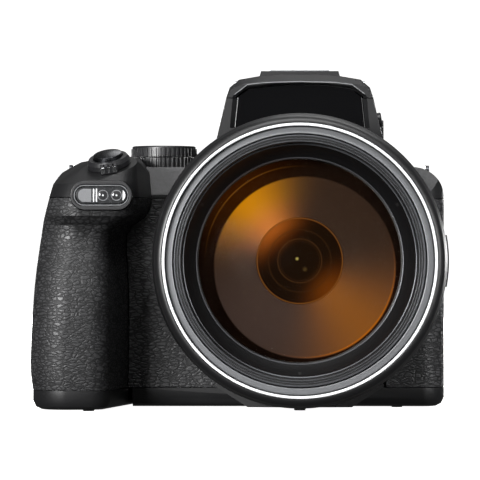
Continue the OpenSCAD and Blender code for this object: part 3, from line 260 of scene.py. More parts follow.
# the painted, anodised and moulded finishes differ in colour, gloss and grit: one table, one build. Grit is
# the width of a grain in mm: real grains are mostly finer, and are drawn as coarse as they need to show
satinLooks = {
    # polycarbonate from a spark-eroded mould: fine even grit that breaks up the highlight
    "spark-textured polycarbonate": {"dark": "#0e0e0f", "light": "#161617", "grit": 0.45, "depth": 0.03,
                                     "rough": (0.4, 0.5), "press": 0.6, "set": {"IOR": 1.4}},
    # aluminium sprayed satin black: even, with a soft sheen and the paint's own fine orange peel
    "satin black paint on aluminium": {"dark": "#0d0d0e", "light": "#131314", "grit": 0.5, "depth": 0.02,
                                       "rough": (0.36, 0.46)},
    # aluminium anodised black inside the rim: nearly no light comes back
    "black anodised aluminium": {"dark": "#070708", "light": "#0b0b0c", "grit": 0.4, "depth": 0.01,
                                 "rough": (0.45, 0.55), "set": {"Specular IOR Level": 0.2}},
    # anodised edges painted pale: a thin line of painted highlight
    "aluminium edge painted with a highlight": {"dark": "#404144", "light": "#4e4f52", "grit": 0.3, "depth": 0.004,
                              "rough": (0.3, 0.4), "set": {"Metallic": 0.5}},
    # polycarbonate with a coarse sand texture, painted a light grey that stands in for the light falling on
    # the deck's slope: it stays grey from every side, with a few bright grains
    "sand-textured polycarbonate painted lit grey": {"dark": "#232324", "light": "#4a4a4b", "grit": 1.1, "depth": 0.06,
                                    "rough": (0.5, 0.62)},
    # bead-blasted aluminium anodised grey: an even, silky mid grey
    "grey anodised aluminium": {"dark": "#6c6d6f", "light": "#797a7c", "grit": 0.3, "depth": 0.01,
                                "rough": (0.36, 0.46), "set": {"Metallic": 0.3}},
    # aluminium turned on a lathe and polished: bright, with hair-fine tool marks
    "turned bright aluminium": {"dark": "#d2d3d5", "light": "#e2e3e4", "grit": 0.2, "depth": 0.004,
                                "rough": (0.4, 0.5), "set": {"Metallic": 0.5}},
    # white pad print: flat ink, a little uneven
    "white printed ink": {"dark": "#b4b5b6", "light": "#d0d1d2", "grit": 0.3, "depth": 0.004,
                          "rough": (0.5, 0.6)},
    # thin gold over nickel on the contacts: warm, with a soft shine
    "gold-plated contact": {"dark": "#b08a3c", "light": "#c49c4c", "grit": 0.4, "depth": 0.004,
                            "rough": (0.25, 0.35), "set": {"Metallic": 1.0}},
    # chromed brass: nearly a mirror, white or black with what stands round it
    "bright chrome plate": {"dark": "#c9cacc", "light": "#dcddde", "grit": 0.4, "depth": 0.002,
                            "rough": (0.08, 0.16), "set": {"Metallic": 1.0}},
    # black chrome over steel: dark mirror with broad highlights
    "black chrome plate": {"dark": "#48494c", "light": "#545558", "grit": 0.4, "depth": 0.004,
                           "rough": (0.24, 0.32), "set": {"Metallic": 1.0}},
    # flat-black paint inside the lens: it gives back almost nothing
    "flat black baffle paint": {"dark": "#080808", "light": "#0e0e0f", "grit": 0.3, "depth": 0.02,
                                "rough": (0.55, 0.7)},
    # moulded control rubber: dull black that only lightens where light grazes it
    "moulded ring rubber": {"dark": "#101011", "light": "#171718", "grit": 0.5, "depth": 0.03,
                            "rough": (0.5, 0.62)},
    # ABS from a finely blasted mould: a small soft light on each edge
    "satin moulded ABS": {"dark": "#151516", "light": "#1e1e20", "grit": 0.3, "depth": 0.02,
                          "rough": (0.32, 0.42)},
    # ABS dyed red: a deep plain red under the same soft light
    "red moulded ABS": {"dark": "#8a1c1c", "light": "#9c2524", "grit": 0.3, "depth": 0.02,
                        "rough": (0.32, 0.42)},
    # polycarbonate edge painted paler than the textured faces beside it: a painted highlight
    "polycarbonate edge painted with a highlight": {"dark": "#58595b", "light": "#66676a", "grit": 0.6, "depth": 0.004,
                                  "rough": (0.28, 0.38)},
    # frosted polycarbonate over the lamp: pale grey, with light all over it
    "frosted polycarbonate": {"dark": "#626365", "light": "#747577", "grit": 0.4, "depth": 0.02,
                              "rough": (0.3, 0.45)},
    # smoked polycarbonate, polished: dark grey under a sharp highlight
    "smoked polycarbonate": {"dark": "#2b2b2c", "light": "#343435", "grit": 3.0, "depth": 0.005,
                             "rough": (0.06, 0.12)},
    # clouded polycarbonate: the lit inside of the lamp window
    "clouded polycarbonate": {"dark": "#1d1e1f", "light": "#262729", "grit": 2.0, "depth": 0.01,
                              "rough": (0.22, 0.32)},
    # spring steel, brushed: bright, with reflections drawn out soft
    "brushed stainless steel": {"dark": "#9fa1a4", "light": "#c2c4c6", "grit": 0.25, "depth": 0.01,
                                "rough": (0.26, 0.4), "set": {"Metallic": 1.0}},
    # die-cast alloy, tumbled: dull pale metal with a slightly pitted skin
    "die-cast alloy": {"dark": "#7f8184", "light": "#97999c", "grit": 0.8, "depth": 0.03,
                       "rough": (0.42, 0.56), "set": {"Metallic": 1.0}},
    # solder mask over glass-fibre board: mottled green, half glossy
    "green solder mask": {"dark": "#123f27", "light": "#1d5a38", "grit": 1.2, "depth": 0.02,
                          "rough": (0.3, 0.42)},
    # film shrunk over the cell: slate grey, with slow ripples in its gloss
    "shrink-wrapped cell": {"dark": "#3c3d40", "light": "#47484c", "grit": 2.0, "depth": 0.02,
                            "rough": (0.35, 0.5)},
}
satin = {}
for name, look in satinLooks.items():
    finish, tree, shader, place = newFinish(name, look.get("set", {}))
    grit = addNode(tree, "ShaderNodeTexNoise", {
        "Vector": place, "Scale": perMetre(look["grit"]), "Detail": 2.0})
    tone = addNode(tree, "ShaderNodeMix", {"Factor": grit.outputs["Fac"], 6: linear(look["dark"]),
                                           7: linear(look["light"])}, data_type="RGBA")
    rough = addNode(tree, "ShaderNodeMapRange", {"Value": grit.outputs["Fac"], "To Min": look["rough"][0],
                                                 "To Max": look["rough"][1]})
    bump = addNode(tree, "ShaderNodeBump", {"Height": grit.outputs["Fac"], "Strength": look.get("press", 0.5),
                                            "Distance": look["depth"] * mm})
    tree.links.new(tone.outputs[2], shader.inputs["Base Color"])
    tree.links.new(rough.outputs["Result"], shader.inputs["Roughness"])
    tree.links.new(bump.outputs["Normal"], shader.inputs["Normal"])
    satin[name] = finish
shellFinish = satin["spark-textured polycarbonate"]

# optical glass with an anti-reflection coating, which is why the index is set low: it gives back very little
# light
clearLook = {"tint": "#f6f2ec", "wave": 30, "rough": (0.0, 0.02)}
clearFinish, tree, shader, place = newFinish("coated clear optical glass", {
    "Base Color": linear(clearLook["tint"]), "IOR": 1.03, "Transmission Weight": 1.0})
wave = addNode(tree, "ShaderNodeTexNoise", {"Vector": place, "Scale": perMetre(clearLook["wave"])})
rough = addNode(tree, "ShaderNodeMapRange", {"Value": wave.outputs["Fac"], "To Min": clearLook["rough"][0],
                                             "To Max": clearLook["rough"][1]})
tree.links.new(rough.outputs["Result"], shader.inputs["Roughness"])


# multi-coated glass inside the lens, its look painted into a glow: painted reflections in two soft amber
# fans, a strong one and a weak one, on a ground that turns greyer towards the bottom. A painted shade lies
# round the edge, a little off centre; thin lines are painted light where the edges of the glasses behind
# would catch it
coating = {"shine": 0.01, "rough": 0.3, "low": (10, -24), "soft": 0.35}  # heights and widths in mm


def coatedGlassWithPaintedReflections(name, look):
    # the pattern is drawn as a glow, so these painted reflections shine with no lamp on them
    finish, tree, shader, place = newFinish(name, {
        "Base Color": linear(look["depth"]), "Specular IOR Level": coating["shine"],
        "Roughness": coating["rough"], "Emission Strength": 1.0})
    axes = addNode(tree, "ShaderNodeSeparateXYZ", {0: place})
    up = addNode(tree, "ShaderNodeMath", {0: axes.outputs["Z"], 1: axisZ * mm},
                 operation="SUBTRACT").outputs[0]
    flat = addNode(tree, "ShaderNodeCombineXYZ", {"X": axes.outputs["X"], "Z": up}).outputs[0]
    radius = addNode(tree, "ShaderNodeVectorMath", {0: flat}, operation="LENGTH").outputs["Value"]
    facing = addNode(tree, "ShaderNodeVectorMath", {0: flat}, operation="NORMALIZE").outputs[0]
    fade = addNode(tree, "ShaderNodeMapRange", {
        "Value": radius, "From Min": look["fade"][0] * mm, "From Max": look["fade"][1] * mm},
        interpolation_type="SMOOTHSTEP").outputs["Result"]
    fans = []
    # each fan is a painted reflection, brightest in its own direction
    for degrees, narrow in look["fans"]:
        turned = (math.cos(math.radians(degrees)), 0, math.sin(math.radians(degrees)))
        near = addNode(tree, "ShaderNodeVectorMath", {0: facing, 1: turned},
                       operation="DOT_PRODUCT").outputs["Value"]
        near = addNode(tree, "ShaderNodeMath", {0: near, 1: 0.0}, operation="MAXIMUM").outputs[0]
        near = addNode(tree, "ShaderNodeMath", {0: near, 1: narrow}, operation="POWER").outputs[0]
        fans.append(addNode(tree, "ShaderNodeMath", {0: near, 1: fade}, operation="MULTIPLY").outputs[0])
    strong, weak = fans
    # the ground turns greyer towards the bottom
    low = addNode(tree, "ShaderNodeMapRange", {
        "Value": up, "From Min": coating["low"][0] * mm, "From Max": coating["low"][1] * mm},
        interpolation_type="SMOOTHSTEP").outputs["Result"]
    outward = addNode(tree, "ShaderNodeMapRange", {
        "Value": radius, "From Min": look["inner"] * mm, "From Max": look["outer"] * mm},
        interpolation_type="SMOOTHSTEP").outputs["Result"]
    tone = addNode(tree, "ShaderNodeMix", {
        "Factor": low, 6: linear(look["brown"]), 7: linear(look["grey"])}, data_type="RGBA").outputs[2]
    warm = addNode(tree, "ShaderNodeMix", {
        "Factor": outward, 6: linear(look["copper"]), 7: linear(look["gold"])}, data_type="RGBA").outputs[2]
    tone = addNode(tree, "ShaderNodeMix", {"Factor": weak, 6: tone, 7: linear(look["rust"])},
                   data_type="RGBA").outputs[2]
    tone = addNode(tree, "ShaderNodeMix", {"Factor": strong, 6: tone, 7: warm}, data_type="RGBA").outputs[2]
    # painted shade round the edge, centred a little off the axis
    away = addNode(tree, "ShaderNodeVectorMath", {0: flat, 1: [v * mm for v in look["shadeAt"]]},
                   operation="DISTANCE").outputs["Value"]
    edge = addNode(tree, "ShaderNodeMapRange", {
        "Value": away, "From Min": (look["shade"] - coating["soft"]) * mm,
        "From Max": (look["shade"] + coating["soft"]) * mm},
        interpolation_type="SMOOTHSTEP").outputs["Result"]
    tone = addNode(tree, "ShaderNodeMix", {"Factor": edge, 6: tone, 7: look["shadeTone"]},
                   data_type="RGBA", blend_type="MULTIPLY").outputs[2]
    # a mark with a radius is a ring, and one without is a spot: rings are painted light, along the edges of
    # glasses and within the fans; spots are painted highlights
    for centre, size, soft, colour, fan in look["marks"]:
        off = addNode(tree, "ShaderNodeVectorMath", {0: flat, 1: (centre[0] * mm, 0, centre[1] * mm)},
                      operation="DISTANCE").outputs["Value"]
        off = addNode(tree, "ShaderNodeMath", {0: off, 1: size * mm}, operation="SUBTRACT").outputs[0]
        off = addNode(tree, "ShaderNodeMath", {0: off}, operation="ABSOLUTE").outputs[0]
        line = addNode(tree, "ShaderNodeMapRange", {"Value": off, "From Min": soft * mm, "From Max": 0.0},
                       interpolation_type="SMOOTHSTEP").outputs["Result"]
        if fan is not None:
            line = addNode(tree, "ShaderNodeMath", {0: line, 1: fans[fan]}, operation="MULTIPLY").outputs[0]
        tone = addNode(tree, "ShaderNodeMix", {"Factor": line, 6: tone, 7: linear(colour)},
                       data_type="RGBA").outputs[2]
    tree.links.new(tone, shader.inputs["Emission Color"])
    return finish, tree, shader, radius


# each mark: centre, radius, softness in mm, colour, and the fan it shows in
# marks here: a faint line of painted reflection in the strong fan, and a painted orange rim in the weak one
amberFinish, tree, shader, radius = coatedGlassWithPaintedReflections("amber-coated optical glass with painted reflections", {
    "depth": "#0a0604", "brown": "#2e2119", "grey": "#3c302c", "gold": "#c88204", "copper": "#c67630",
    "rust": "#84501f", "fans": ((131, 8), (-46, 6)), "fade": (4, 12), "inner": 15, "outer": 24,
    "shadeAt": (1.7, 0, -2.2), "shade": 29.7, "shadeTone": (0.05, 0.03, 0.02, 1),
    "marks": [((0, 0), 31.0, 0.35, "#6a4212", 0), ((1.7, -2.2), 29.4, 0.45, "#b0600f", 1)]})
clearMiddle = {"edge": (14.1, 14.5), "film": 0.04}  # radii in mm, and what the coating still covers there
cover = addNode(tree, "ShaderNodeMapRange", {
    "Value": radius, "From Min": clearMiddle["edge"][0] * mm, "From Max": clearMiddle["edge"][1] * mm,
    "To Min": clearMiddle["film"], "To Max": 1.0}, interpolation_type="SMOOTHSTEP")
tree.links.new(cover.outputs["Result"], shader.inputs["Alpha"])
# the glass behind: painted reflections, a painted shade at its rim, painted light on the edges of the glasses
# behind it and two painted highlights near the middle
deepFinish = coatedGlassWithPaintedReflections("deep amber-coated glass with painted reflections", {
    "depth": "#030201", "brown": "#150a03", "grey": "#120802", "gold": "#9a5018", "copper": "#5c2606",
    "rust": "#622e06", "fans": ((132, 5), (-44, 6)), "fade": (5, 13.5), "inner": 8, "outer": 13.5,
    "shadeAt": (0, 0, 0), "shade": 15.4, "shadeTone": (0.5, 0.4, 0.3, 1),
    "marks": [((0, 0), 14.2, 0.3, "#7a4a1c", None), ((0, 0), 10.4, 0.2, "#3c2410", None),
              ((0, 0), 7.3, 0.25, "#4a2e16", None), ((0, 0), 6.6, 0.2, "#2e1a0b", None),
              ((-0.9, 0.7), 0, 0.75, "#c2b45c", None), ((1.7, -2.8), 0, 1.1, "#4c3a1c", None)]})[0]
print("materials made:", len(bpy.data.materials))


# pieces

def link(piece, body, *standsFor):
    bpy.context.scene.collection.objects.link(piece)
    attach(piece, body)
    if standsFor:
        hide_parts(*standsFor)
    return piece


# shades smooth, apart from edges that turn more than this many degrees
def shade(bm, sharp):
    for face in bm.faces:
        face.smooth = True
    for edge in bm.edges:
        edge.smooth = len(edge.link_faces) == 2 and edge.calc_face_angle(0) < math.radians(sharp)


def camel(name):
    first, *rest = name.split("_")
    return first + "".join(word.capitalize() for word in rest)


# closes a bmesh into an object: merged, facing outwards, smooth
def finishPiece(bm, name, finish, body, standsFor=(), sharp=30):
    bmesh.ops.remove_doubles(bm, verts=bm.verts, dist=weld)
    bmesh.ops.recalc_face_normals(bm, faces=bm.faces)
    shade(bm, sharp)
    mesh = bpy.data.meshes.new(name)
    bm.to_mesh(mesh)
    bm.free()
    mesh.materials.append(finish)
    return link(bpy.data.objects.new(name, mesh), body, *standsFor)


def roundEdges(piece, width, sharp=30):
    rounder = piece.modifiers.new("roundedEdges", "BEVEL")
    rounder.width = width * mm
    rounder.segments = 2
    rounder.limit_method = "ANGLE"
    rounder.angle_limit = math.radians(sharp)
    rounder.harden_normals = True
    return piece


# a node's own shape, merged and smooth, with its edges rounded
def dress(node, finish, width=0.0, sharp=30):
    bm = bmesh.new()
    bm.from_mesh(nodes[node].data)
    bmesh.ops.remove_doubles(bm, verts=bm.verts, dist=2 * weld)
    bmesh.ops.dissolve_limit(bm, angle_limit=math.radians(0.5), verts=bm.verts, edges=bm.edges)
    shade(bm, sharp)
    mesh = bpy.data.meshes.new(camel(node))
    bm.to_mesh(mesh)
    bm.free()
    if "custom_normal" in mesh.attributes:
        mesh.attributes.remove(mesh.attributes["custom_normal"])
    mesh.materials.append(finish)
    piece = link(bpy.data.objects.new(camel(node), mesh), nodes[node]["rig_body"], node)
    return roundEdges(piece, width, sharp) if width else piece


# a lathe-turned piece: its section, as radius and distance in front of the film plane, turned round the axis
def turn(name, section, finish, body, standsFor=(), width=0.12, steps=240):
    bm = bmesh.new()
    spots = [bm.verts.new((r * mm, -a * mm, axisZ * mm)) for r, a in section]
    sides = [bm.edges.new((spots[i - 1], spots[i])) for i in range(len(spots))]
    bmesh.ops.spin(bm, geom=spots + sides, cent=(0, 0, axisZ * mm), axis=(0, 1, 0), angle=math.tau,
                   steps=steps, use_merge=True)
    piece = finishPiece(bm, name, finish, body, standsFor)
    return roundEdges(piece, width)


# gives the faces that a test picks a second finish
def repaint(piece, finish, picks):
    piece.data.materials.append(finish)
    for face in piece.data.polygons:
        if picks(face):
            face.material_index = 1


barrelPaint = satin["satin black paint on aluminium"]
brightMetal = satin["turned bright aluminium"]
greyMetal = satin["grey anodised aluminium"]
edgeHighlightMetal = satin["aluminium edge painted with a highlight"]
baffle = satin["flat black baffle paint"]
controlAbs = satin["satin moulded ABS"]
ringRubber = satin["moulded ring rubber"]
darkChrome = satin["black chrome plate"]
castAlloy = satin["die-cast alloy"]
steel = satin["brushed stainless steel"]
frosted = satin["frosted polycarbonate"]
ink = satin["white printed ink"]

# nodes that keep their own shape: finish, and edge rounding in mm
dressed = {
    "front_cover": (shellFinish, 0.4), "rear_cover": (shellFinish, 0.4), "top_cover": (shellFinish, 0.5),
    "bottom_cover": (shellFinish, 0.4), "grip_skin": (skinFinish, 0.3), "face_skins": (skinFinish, 0.3),
    "thumb_rest": (skinFinish, 0.3), "name_plate": (glossFinish, 0.25), "lamp_housing": (controlAbs, 0.25),
    "hot_shoe": (steel, 0.15), "eyelets": (darkChrome, 0.15), "eyecup": (ringRubber, 0.4),
    "chassis": (castAlloy, 0), "main_board": (satin["green solder mask"], 0), "zoom_motor": (castAlloy, 0),
    "battery_chamber": (controlAbs, 0), "battery": (satin["shrink-wrapped cell"], 0),
    "tripod_bush": (steel, 0), "screws": (steel, 0), "hinge_pins": (steel, 0),
    "dial_collar": (controlAbs, 0.15), "base_barrel": (barrelPaint, 0.3), "lens_base": (castAlloy, 0),
    "control_ring": (ringRubber, 0), "inner_cell": (baffle, 0), "side_lever": (controlAbs, 0.2),
    "snapback_button": (controlAbs, 0.2), "shutter_button": (darkChrome, 0.12),
    "zoom_lever": (controlAbs, 0.2), "mode_dial": (controlAbs, 0.12), "command_dial": (controlAbs, 0.12),
    "power_button": (controlAbs, 0.2), "flash_head": (shellFinish, 0.4), "flash_button": (controlAbs, 0.2),
    "diopter_dial": (controlAbs, 0.1), "monitor": (shellFinish, 0.4), "monitor_glass": (glossFinish, 0.15),
    "movie_button": (controlAbs, 0.2), "lock_button": (controlAbs, 0.2), "play_button": (controlAbs, 0.2),
    "menu_button": (controlAbs, 0.2), "delete_button": (controlAbs, 0.2),
    "selector_wheel": (controlAbs, 0.2), "ok_button": (controlAbs, 0.2), "battery_door": (shellFinish, 0.2),
    "connector_flap": (shellFinish, 0.3), "image_sensor": (glossFinish, 0), "fixed_barrel": (barrelPaint, 0),
    "lamp_window": (satin["clouded polycarbonate"], 0.15), "inner_lens": (deepFinish, 0),
}
pieces = {node: dress(node, finish, width) for node, (finish, width) in dressed.items()}

# the sanded slope along the front of the deck, painted light grey where its faces turn forward and up, as
# painted light: where it lies in mm, and which way its faces point
deckSlope = {"left": -56.0, "back": -18.0, "low": 73.0, "high": 84.5, "forward": -0.6, "up": 0.15}
repaint(pieces["top_cover"], satin["sand-textured polycarbonate painted lit grey"],
        lambda face: face.center.x > deckSlope["left"] * mm and face.center.y < deckSlope["back"] * mm
        and deckSlope["low"] * mm < face.center.z < deckSlope["high"] * mm
        and face.normal.y < deckSlope["forward"] and face.normal.z > deckSlope["up"])

lid = pieces["flash_head"]  # its rounded edges are painted pale, as a highlight
lid.data.materials.append(satin["polycarbonate edge painted with a highlight"])
lid.modifiers["roundedEdges"].material = 1
for node in ("flash_window", "eyepiece_lens"):
    dress(node, clearFinish).visible_shadow = False
print("shells and controls dressed:", len(pieces))

# lens front, turned: finish, edge rounding and section, all in mm

lensSections = {
    "front_bezel": (barrelPaint, 0.15, [
        (45.35, 104.3), (46.7, 104.3), (47, 104.6), (47, 126.6), (46.6, 128.1), (45.8, 129.2), (44.8, 129.7),
        (44.55, 129.7), (44.55, 127.5), (43.5, 127.5), (43.5, 126.2), (45.35, 126.2)]),
    "trim_ring": (brightMetal, 0.06, [
        (43.5, 127.6), (44.4, 127.6), (44.4, 129.85), (44.25, 130), (43.65, 130), (43.5, 129.85)]),
    "mid_barrel": (barrelPaint, 0.1, [
        (41, 30), (43.2, 30), (43.2, 127.5), (42.9, 127.9), (41.3, 129.2), (41, 129.0)]),
    "front_barrel": (barrelPaint, 0.05, [
        (38.9, 36), (40.6, 36), (40.6, 129.3), (40.35, 129.6), (40.1, 129.6), (39.95, 129.1), (39.65, 129.1),
        (39.5, 129.5), (39.3, 129.5), (39.15, 129.0), (38.85, 129.0), (38.7, 129.4), (38.45, 129.4),
        (38.1, 129.0), (38.1, 124.6), (38.9, 124.6)]),
    "retaining_ring": (satin["black anodised aluminium"], 0.1, [
        (38.75, 124.4), (37.5, 124.4), (37.3, 123.9), (33.5, 117.7), (33.2, 117.5), (33.2, 117.1),
        (33.8, 116.4), (38.75, 116.4)]),
    "front_cell": (baffle, 0.1, [
        (38.75, 108.8), (35.2, 108.8), (34.2, 107.3), (34.2, 99.3), (31, 97.8), (18.5, 71.5), (19.7, 71.5),
        (32.6, 96.3), (38.75, 96.3)]),
}
lensPieces = {}
for node, (finish, width, section) in lensSections.items():
    lensPieces[node] = turn(camel(node), section, finish, nodes[node]["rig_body"], [node], width)
threadTop = 129.3  # crests of the filter thread stand in front of this, mm
# the thread crests are painted pale, as a painted highlight
repaint(lensPieces["front_barrel"], edgeHighlightMetal, lambda face: -face.center.y > threadTop * mm)
midRim = 127  # the grey rim of the middle barrel begins here, mm
# grey metal, painted paler to stand in for the light it reflects from the floor
repaint(lensPieces["mid_barrel"], greyMetal, lambda face: -face.center.y > midRim * mm)
# thin rims at the glass and the filter thread, painted pale as highlights
rims = {"glassRim": [(33.2, 117.5), (33.45, 117.95), (33.65, 118.0), (33.4, 117.5)],
        "filterRim": [(37.5, 124.4), (37.45, 124.75), (37.75, 124.9), (38.0, 124.75), (38.0, 124.4)]}
for name, section in rims.items():
    turn(name, section, edgeHighlightMetal, "front_barrel", width=0.03)
for node, finish in (("front_glass", clearFinish), ("second_glass", amberFinish)):
    dress(node, finish).visible_shadow = False
print("lens turned")


# small pieces start as flat faces in XY; this thickens them, turns them with a matrix and hands them over
def raiseFlat(bm, name, finish, body, thick, place, width=0.0):
    out = bmesh.ops.extrude_face_region(bm, geom=list(bm.faces))
    bmesh.ops.translate(bm, verts=vertsOf(out["geom"]), vec=(0, 0, thick * mm))
    bmesh.ops.transform(bm, matrix=place, verts=bm.verts)
    piece = finishPiece(bm, name, finish, body)
    return roundEdges(piece, width) if width else piece


def flatBox(bm, wide, high, x=0.0, y=0.0):
    square = bmesh.ops.create_grid(bm, x_segments=1, y_segments=1, size=0.5 * mm)["verts"]
    bmesh.ops.scale(bm, verts=square, vec=(wide, high, 1))
    bmesh.ops.translate(bm, verts=square, vec=(x * mm, y * mm, 0))


def flatDisc(bm, radius, corners=32):
    return bmesh.ops.create_circle(bm, cap_ends=True, radius=radius * mm, segments=corners)["verts"]


# a disc whose halves are drawn apart; half a step of turning keeps its corners off the line between them
def flatPill(bm, long, high, corners=48):
    disc = flatDisc(bm, high / 2, corners)
    bmesh.ops.rotate(bm, verts=disc, matrix=Matrix.Rotation(math.pi / corners, 3, "Z"))
    for side in (-1, 1):
        half = [v for v in disc if v.co.x * side > 0]
        bmesh.ops.translate(bm, verts=half, vec=(side * (long - high) / 2 * mm, 0, 0))
    return disc[0].link_faces[0]


# opens a flat face to a frame of this width
def openFace(bm, face, rim):
    bmesh.ops.inset_region(bm, faces=[face], thickness=rim * mm, use_boundary=True, use_even_offset=True)
    bmesh.ops.delete(bm, geom=[face], context="FACES_ONLY")


# keeps the part of a flat shape on one side of x
def keepSide(bm, x, right):
    bmesh.ops.bisect_plane(bm, geom=[*bm.verts, *bm.edges, *bm.faces], plane_co=(x * mm, 0, 0),
                           plane_no=(1, 0, 0), clear_inner=right, clear_outer=not right)


def lying(x, y, z):  # faces up
    return Matrix.Translation([v * mm for v in (x, y, z)])


def standing(x, y, z):  # faces the viewer
    return lying(x, y, z) @ Matrix.Rotation(math.radians(90), 4, "X")


def facingBack(x, y, z):  # faces the user, with its right to the user's right
    return lying(x, y, z) @ Matrix.Rotation(math.pi, 4, "Z") @ Matrix.Rotation(math.radians(90), 4, "X")


# three spanner slots in the cone of the retaining ring

slot = {"degrees": (30, 150, 270), "radius": 36.4, "front": 122.4, "lean": 58.5, "long": 1.5, "high": 1.0,
        "proud": 0.06}
for i, degrees in enumerate(slot["degrees"]):
    bm = bmesh.new()
    flatBox(bm, slot["long"], slot["high"])
    spun = (lying(0, 0, axisZ) @ Matrix.Rotation(math.radians(-degrees), 4, "Y")
            @ standing(slot["radius"], -slot["front"], 0)
            @ Matrix.Rotation(math.radians(-slot["lean"]), 4, "Y"))
    raiseFlat(bm, f"spannerSlot{i + 1}", baffle, "front_barrel", slot["proud"], spun)

# lamp window on the head of the grip: bezel, diffuser, two bars, two lamps and a reflector

gripLamp = {"x": -67.3, "y": -61.9, "z": 73.4, "thick": 0.16, "edge": 0.06,
            "bezel": (18.6, 7.0), "rim": 0.3, "bezelProud": 0.3, "bezelEdge": 0.08,
            "blockX": -3.3, "block": (9.2, 4.5), "barX": (-2.55, -1.6), "bar": (0.45, 4.5),
            "bulbX": (0.6, 5.2), "bulb": 1.85, "bulbRim": 0.3, "ringProud": 0.2, "ringEdge": 0.05,
            "dome": 0.28, "dot": 0.32, "dotProud": 0.02, "dotEdge": 0.03,
            "arcX": 5.7, "arc": (5.0, 4.5), "arcFrom": 1.6, "arcEdge": 0.05}


def onGripLamp(x=0.0):
    return standing(gripLamp["x"] + x, gripLamp["y"], gripLamp["z"])


bm = bmesh.new()
openFace(bm, flatPill(bm, *gripLamp["bezel"]), gripLamp["rim"])
raiseFlat(bm, "lampBezel", greyMetal, "camera", gripLamp["bezelProud"], onGripLamp(), gripLamp["bezelEdge"])

bm = bmesh.new()
flatPill(bm, *gripLamp["block"])
keepSide(bm, 0, False)
raiseFlat(bm, "lampDiffuser", frosted, "camera", gripLamp["thick"], onGripLamp(gripLamp["blockX"]),
          gripLamp["edge"])

for i, x in enumerate(gripLamp["barX"]):
    bm = bmesh.new()
    flatBox(bm, *gripLamp["bar"])
    raiseFlat(bm, f"lampBar{i + 1}", brightMetal, "camera", gripLamp["thick"], onGripLamp(x),
              gripLamp["edge"])

for i, x in enumerate(gripLamp["bulbX"]):
    bm = bmesh.new()
    disc = flatDisc(bm, gripLamp["bulb"], 40)
    openFace(bm, disc[0].link_faces[0], gripLamp["bulbRim"])
    raiseFlat(bm, f"lampRing{i + 1}", frosted, "camera", gripLamp["ringProud"], onGripLamp(x),
              gripLamp["ringEdge"])
    bm = bmesh.new()
    inside = gripLamp["bulb"] - gripLamp["bulbRim"]
    bmesh.ops.create_uvsphere(bm, u_segments=32, v_segments=16, radius=inside * mm)
    bmesh.ops.scale(bm, verts=bm.verts, vec=(1, 1, gripLamp["dome"] / inside))
    bmesh.ops.bisect_plane(bm, geom=[*bm.verts, *bm.edges, *bm.faces], plane_co=(0, 0, 0),
                           plane_no=(0, 0, 1), clear_inner=True)
    bmesh.ops.holes_fill(bm, edges=[e for e in bm.edges if e.is_boundary])
    bmesh.ops.transform(bm, matrix=onGripLamp(x), verts=bm.verts)
    finishPiece(bm, f"lampDome{i + 1}", satin["smoked polycarbonate"], "camera")
    bm = bmesh.new()
    flatDisc(bm, gripLamp["dot"], 16)
    raiseFlat(bm, f"lampDot{i + 1}", ink, "camera", gripLamp["dome"] + gripLamp["dotProud"], onGripLamp(x),
              gripLamp["dotEdge"])

bm = bmesh.new()
flatPill(bm, *gripLamp["arc"])
keepSide(bm, gripLamp["arcFrom"], True)
raiseFlat(bm, "lampReflector", brightMetal, "camera", gripLamp["thick"], onGripLamp(gripLamp["arcX"]),
          gripLamp["arcEdge"])
print("lamp window built")

# thin grey strip along the lower front edge of the flash lid, laid on the face of the lid: a painted
# highlight on the lip

lipHighlight = {"points": ((-22.4, 108.6), (-18, 111.9), (-12, 112.6), (0, 112.9), (12, 112.6), (18, 111.9),
                  (22.4, 108.6)), "high": 0.3, "sunk": 0.1, "proud": 0.22}
lidShape = bmesh.new()
lidShape.from_mesh(nodes["flash_head"].data)
lidFace = BVHTree.FromBMesh(lidShape)
lidShape.free()
bm = bmesh.new()
spots = []
for x, z in lipHighlight["points"]:
    ahead = Vector((x * mm, cadBox[0][1], z * mm))  # as far forward as the lens
    onLid = lidFace.ray_cast(ahead, Vector((0, 1, 0)))[0]
    spots.append(bm.verts.new(onLid + Vector((0, lipHighlight["sunk"] * mm, 0))))
lipEdges = [bm.edges.new(pair) for pair in zip(spots, spots[1:])]
out = bmesh.ops.extrude_edge_only(bm, edges=lipEdges)
bmesh.ops.translate(bm, verts=vertsOf(out["geom"]), vec=(0, 0, lipHighlight["high"] * mm))
out = bmesh.ops.extrude_face_region(bm, geom=list(bm.faces))
bmesh.ops.translate(bm, verts=vertsOf(out["geom"]), vec=(0, -lipHighlight["proud"] * mm, 0))
finishPiece(bm, "lidLipHighlight", greyMetal, "flash_head")

# ribs on the tab of the zoom lever, which leans with the shutter

lever = {"at": (-65.2, -48, 83.8), "pitch": 20, "roll": 9, "face": -9.55, "z": 1.65, "high": 2.0,
         "proud": 0.25, "edge": 0.15, "ribs": ((-1.95, 1.3), (0, 0.6), (1.95, 1.3))}
onLever = (lying(*lever["at"]) @ Matrix.Rotation(math.radians(-lever["roll"]), 4, "Y")
           @ Matrix.Rotation(math.radians(lever["pitch"]), 4, "X") @ standing(0, lever["face"], lever["z"]))
bm = bmesh.new()
for x, wide in lever["ribs"]:
    flatBox(bm, wide, lever["high"], x)
raiseFlat(bm, "leverRibs", satin["bright chrome plate"], "zoom_lever", lever["proud"], onLever, lever["edge"])

# printed ticks round the top of the mode dial

dial = {"x": -48.1, "top": 91.8, "radius": 8.4, "ticks": 9, "tick": (0.4, 2.0), "ink": 0.03}
for i in range(dial["ticks"]):
    bm = bmesh.new()
    flatBox(bm, *dial["tick"], y=dial["radius"])
    spun = lying(dial["x"], 0, dial["top"]) @ Matrix.Rotation(math.tau * i / dial["ticks"], 4, "Z")
    raiseFlat(bm, f"dialTick{i + 1}", ink, "mode_dial", dial["ink"], spun)
print("lip, lever ribs and dial ticks built")

# rear marks: a red dot to record, an arrowhead to play, bars for the menu, a bin to delete, a ring to lock

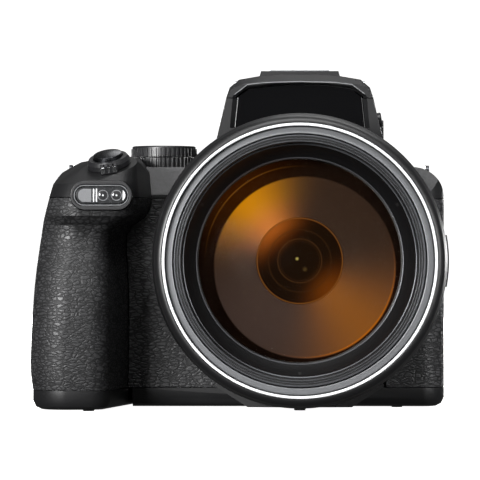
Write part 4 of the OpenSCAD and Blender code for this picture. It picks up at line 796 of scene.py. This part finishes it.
rear = {"ink": 0.03, "dot": 1.5, "dotProud": 0.05, "arrow": 1.2, "bar": (2.2, 0.28), "barsAt": (-0.7, 0, 0.7),
        "bin": (1.4, 1.5), "binAt": -0.2, "binLid": (2.0, 0.3), "binLidAt": 0.85, "ring": 1.1, "ringRim": 0.3}


def onButton(node):  # the middle of its rear face
    low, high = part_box(node)
    x, z = [(low[i] + high[i]) / 2 / mm for i in (0, 2)]
    return facingBack(x, high[1] / mm, z)


bm = bmesh.new()
flatDisc(bm, rear["dot"])
raiseFlat(bm, "recordDot", satin["red moulded ABS"], "movie_button", rear["dotProud"],
          onButton("movie_button"))
bm = bmesh.new()
flatDisc(bm, rear["arrow"], 3)
bmesh.ops.rotate(bm, verts=bm.verts, matrix=Matrix.Rotation(math.radians(-90), 3, "Z"))
raiseFlat(bm, "playMark", ink, "play_button", rear["ink"], onButton("play_button"))
bm = bmesh.new()
for y in rear["barsAt"]:
    flatBox(bm, *rear["bar"], y=y)
raiseFlat(bm, "menuMark", ink, "menu_button", rear["ink"], onButton("menu_button"))
bm = bmesh.new()
flatBox(bm, *rear["bin"], y=rear["binAt"])
flatBox(bm, *rear["binLid"], y=rear["binLidAt"])
raiseFlat(bm, "binMark", ink, "delete_button", rear["ink"], onButton("delete_button"))
bm = bmesh.new()
disc = flatDisc(bm, rear["ring"])
openFace(bm, disc[0].link_faces[0], rear["ringRim"])
raiseFlat(bm, "lockMark", ink, "lock_button", rear["ink"], onButton("lock_button"))

# contacts in the accessory shoe

shoe = {"y": 12, "floor": 115.5, "proud": 0.12, "edge": 0.04,
        "pads": ((0, 0, 1.6), (-3.4, 4.6, 0.8), (3.4, 4.6, 0.8), (3.4, -4.0, 0.8))}
for i, (x, y, radius) in enumerate(shoe["pads"]):
    bm = bmesh.new()
    flatDisc(bm, radius)
    raiseFlat(bm, f"shoeContact{i + 1}", satin["gold-plated contact"], "camera", shoe["proud"],
              lying(x, shoe["y"] + y, shoe["floor"]), shoe["edge"])
print("marks and contacts built")
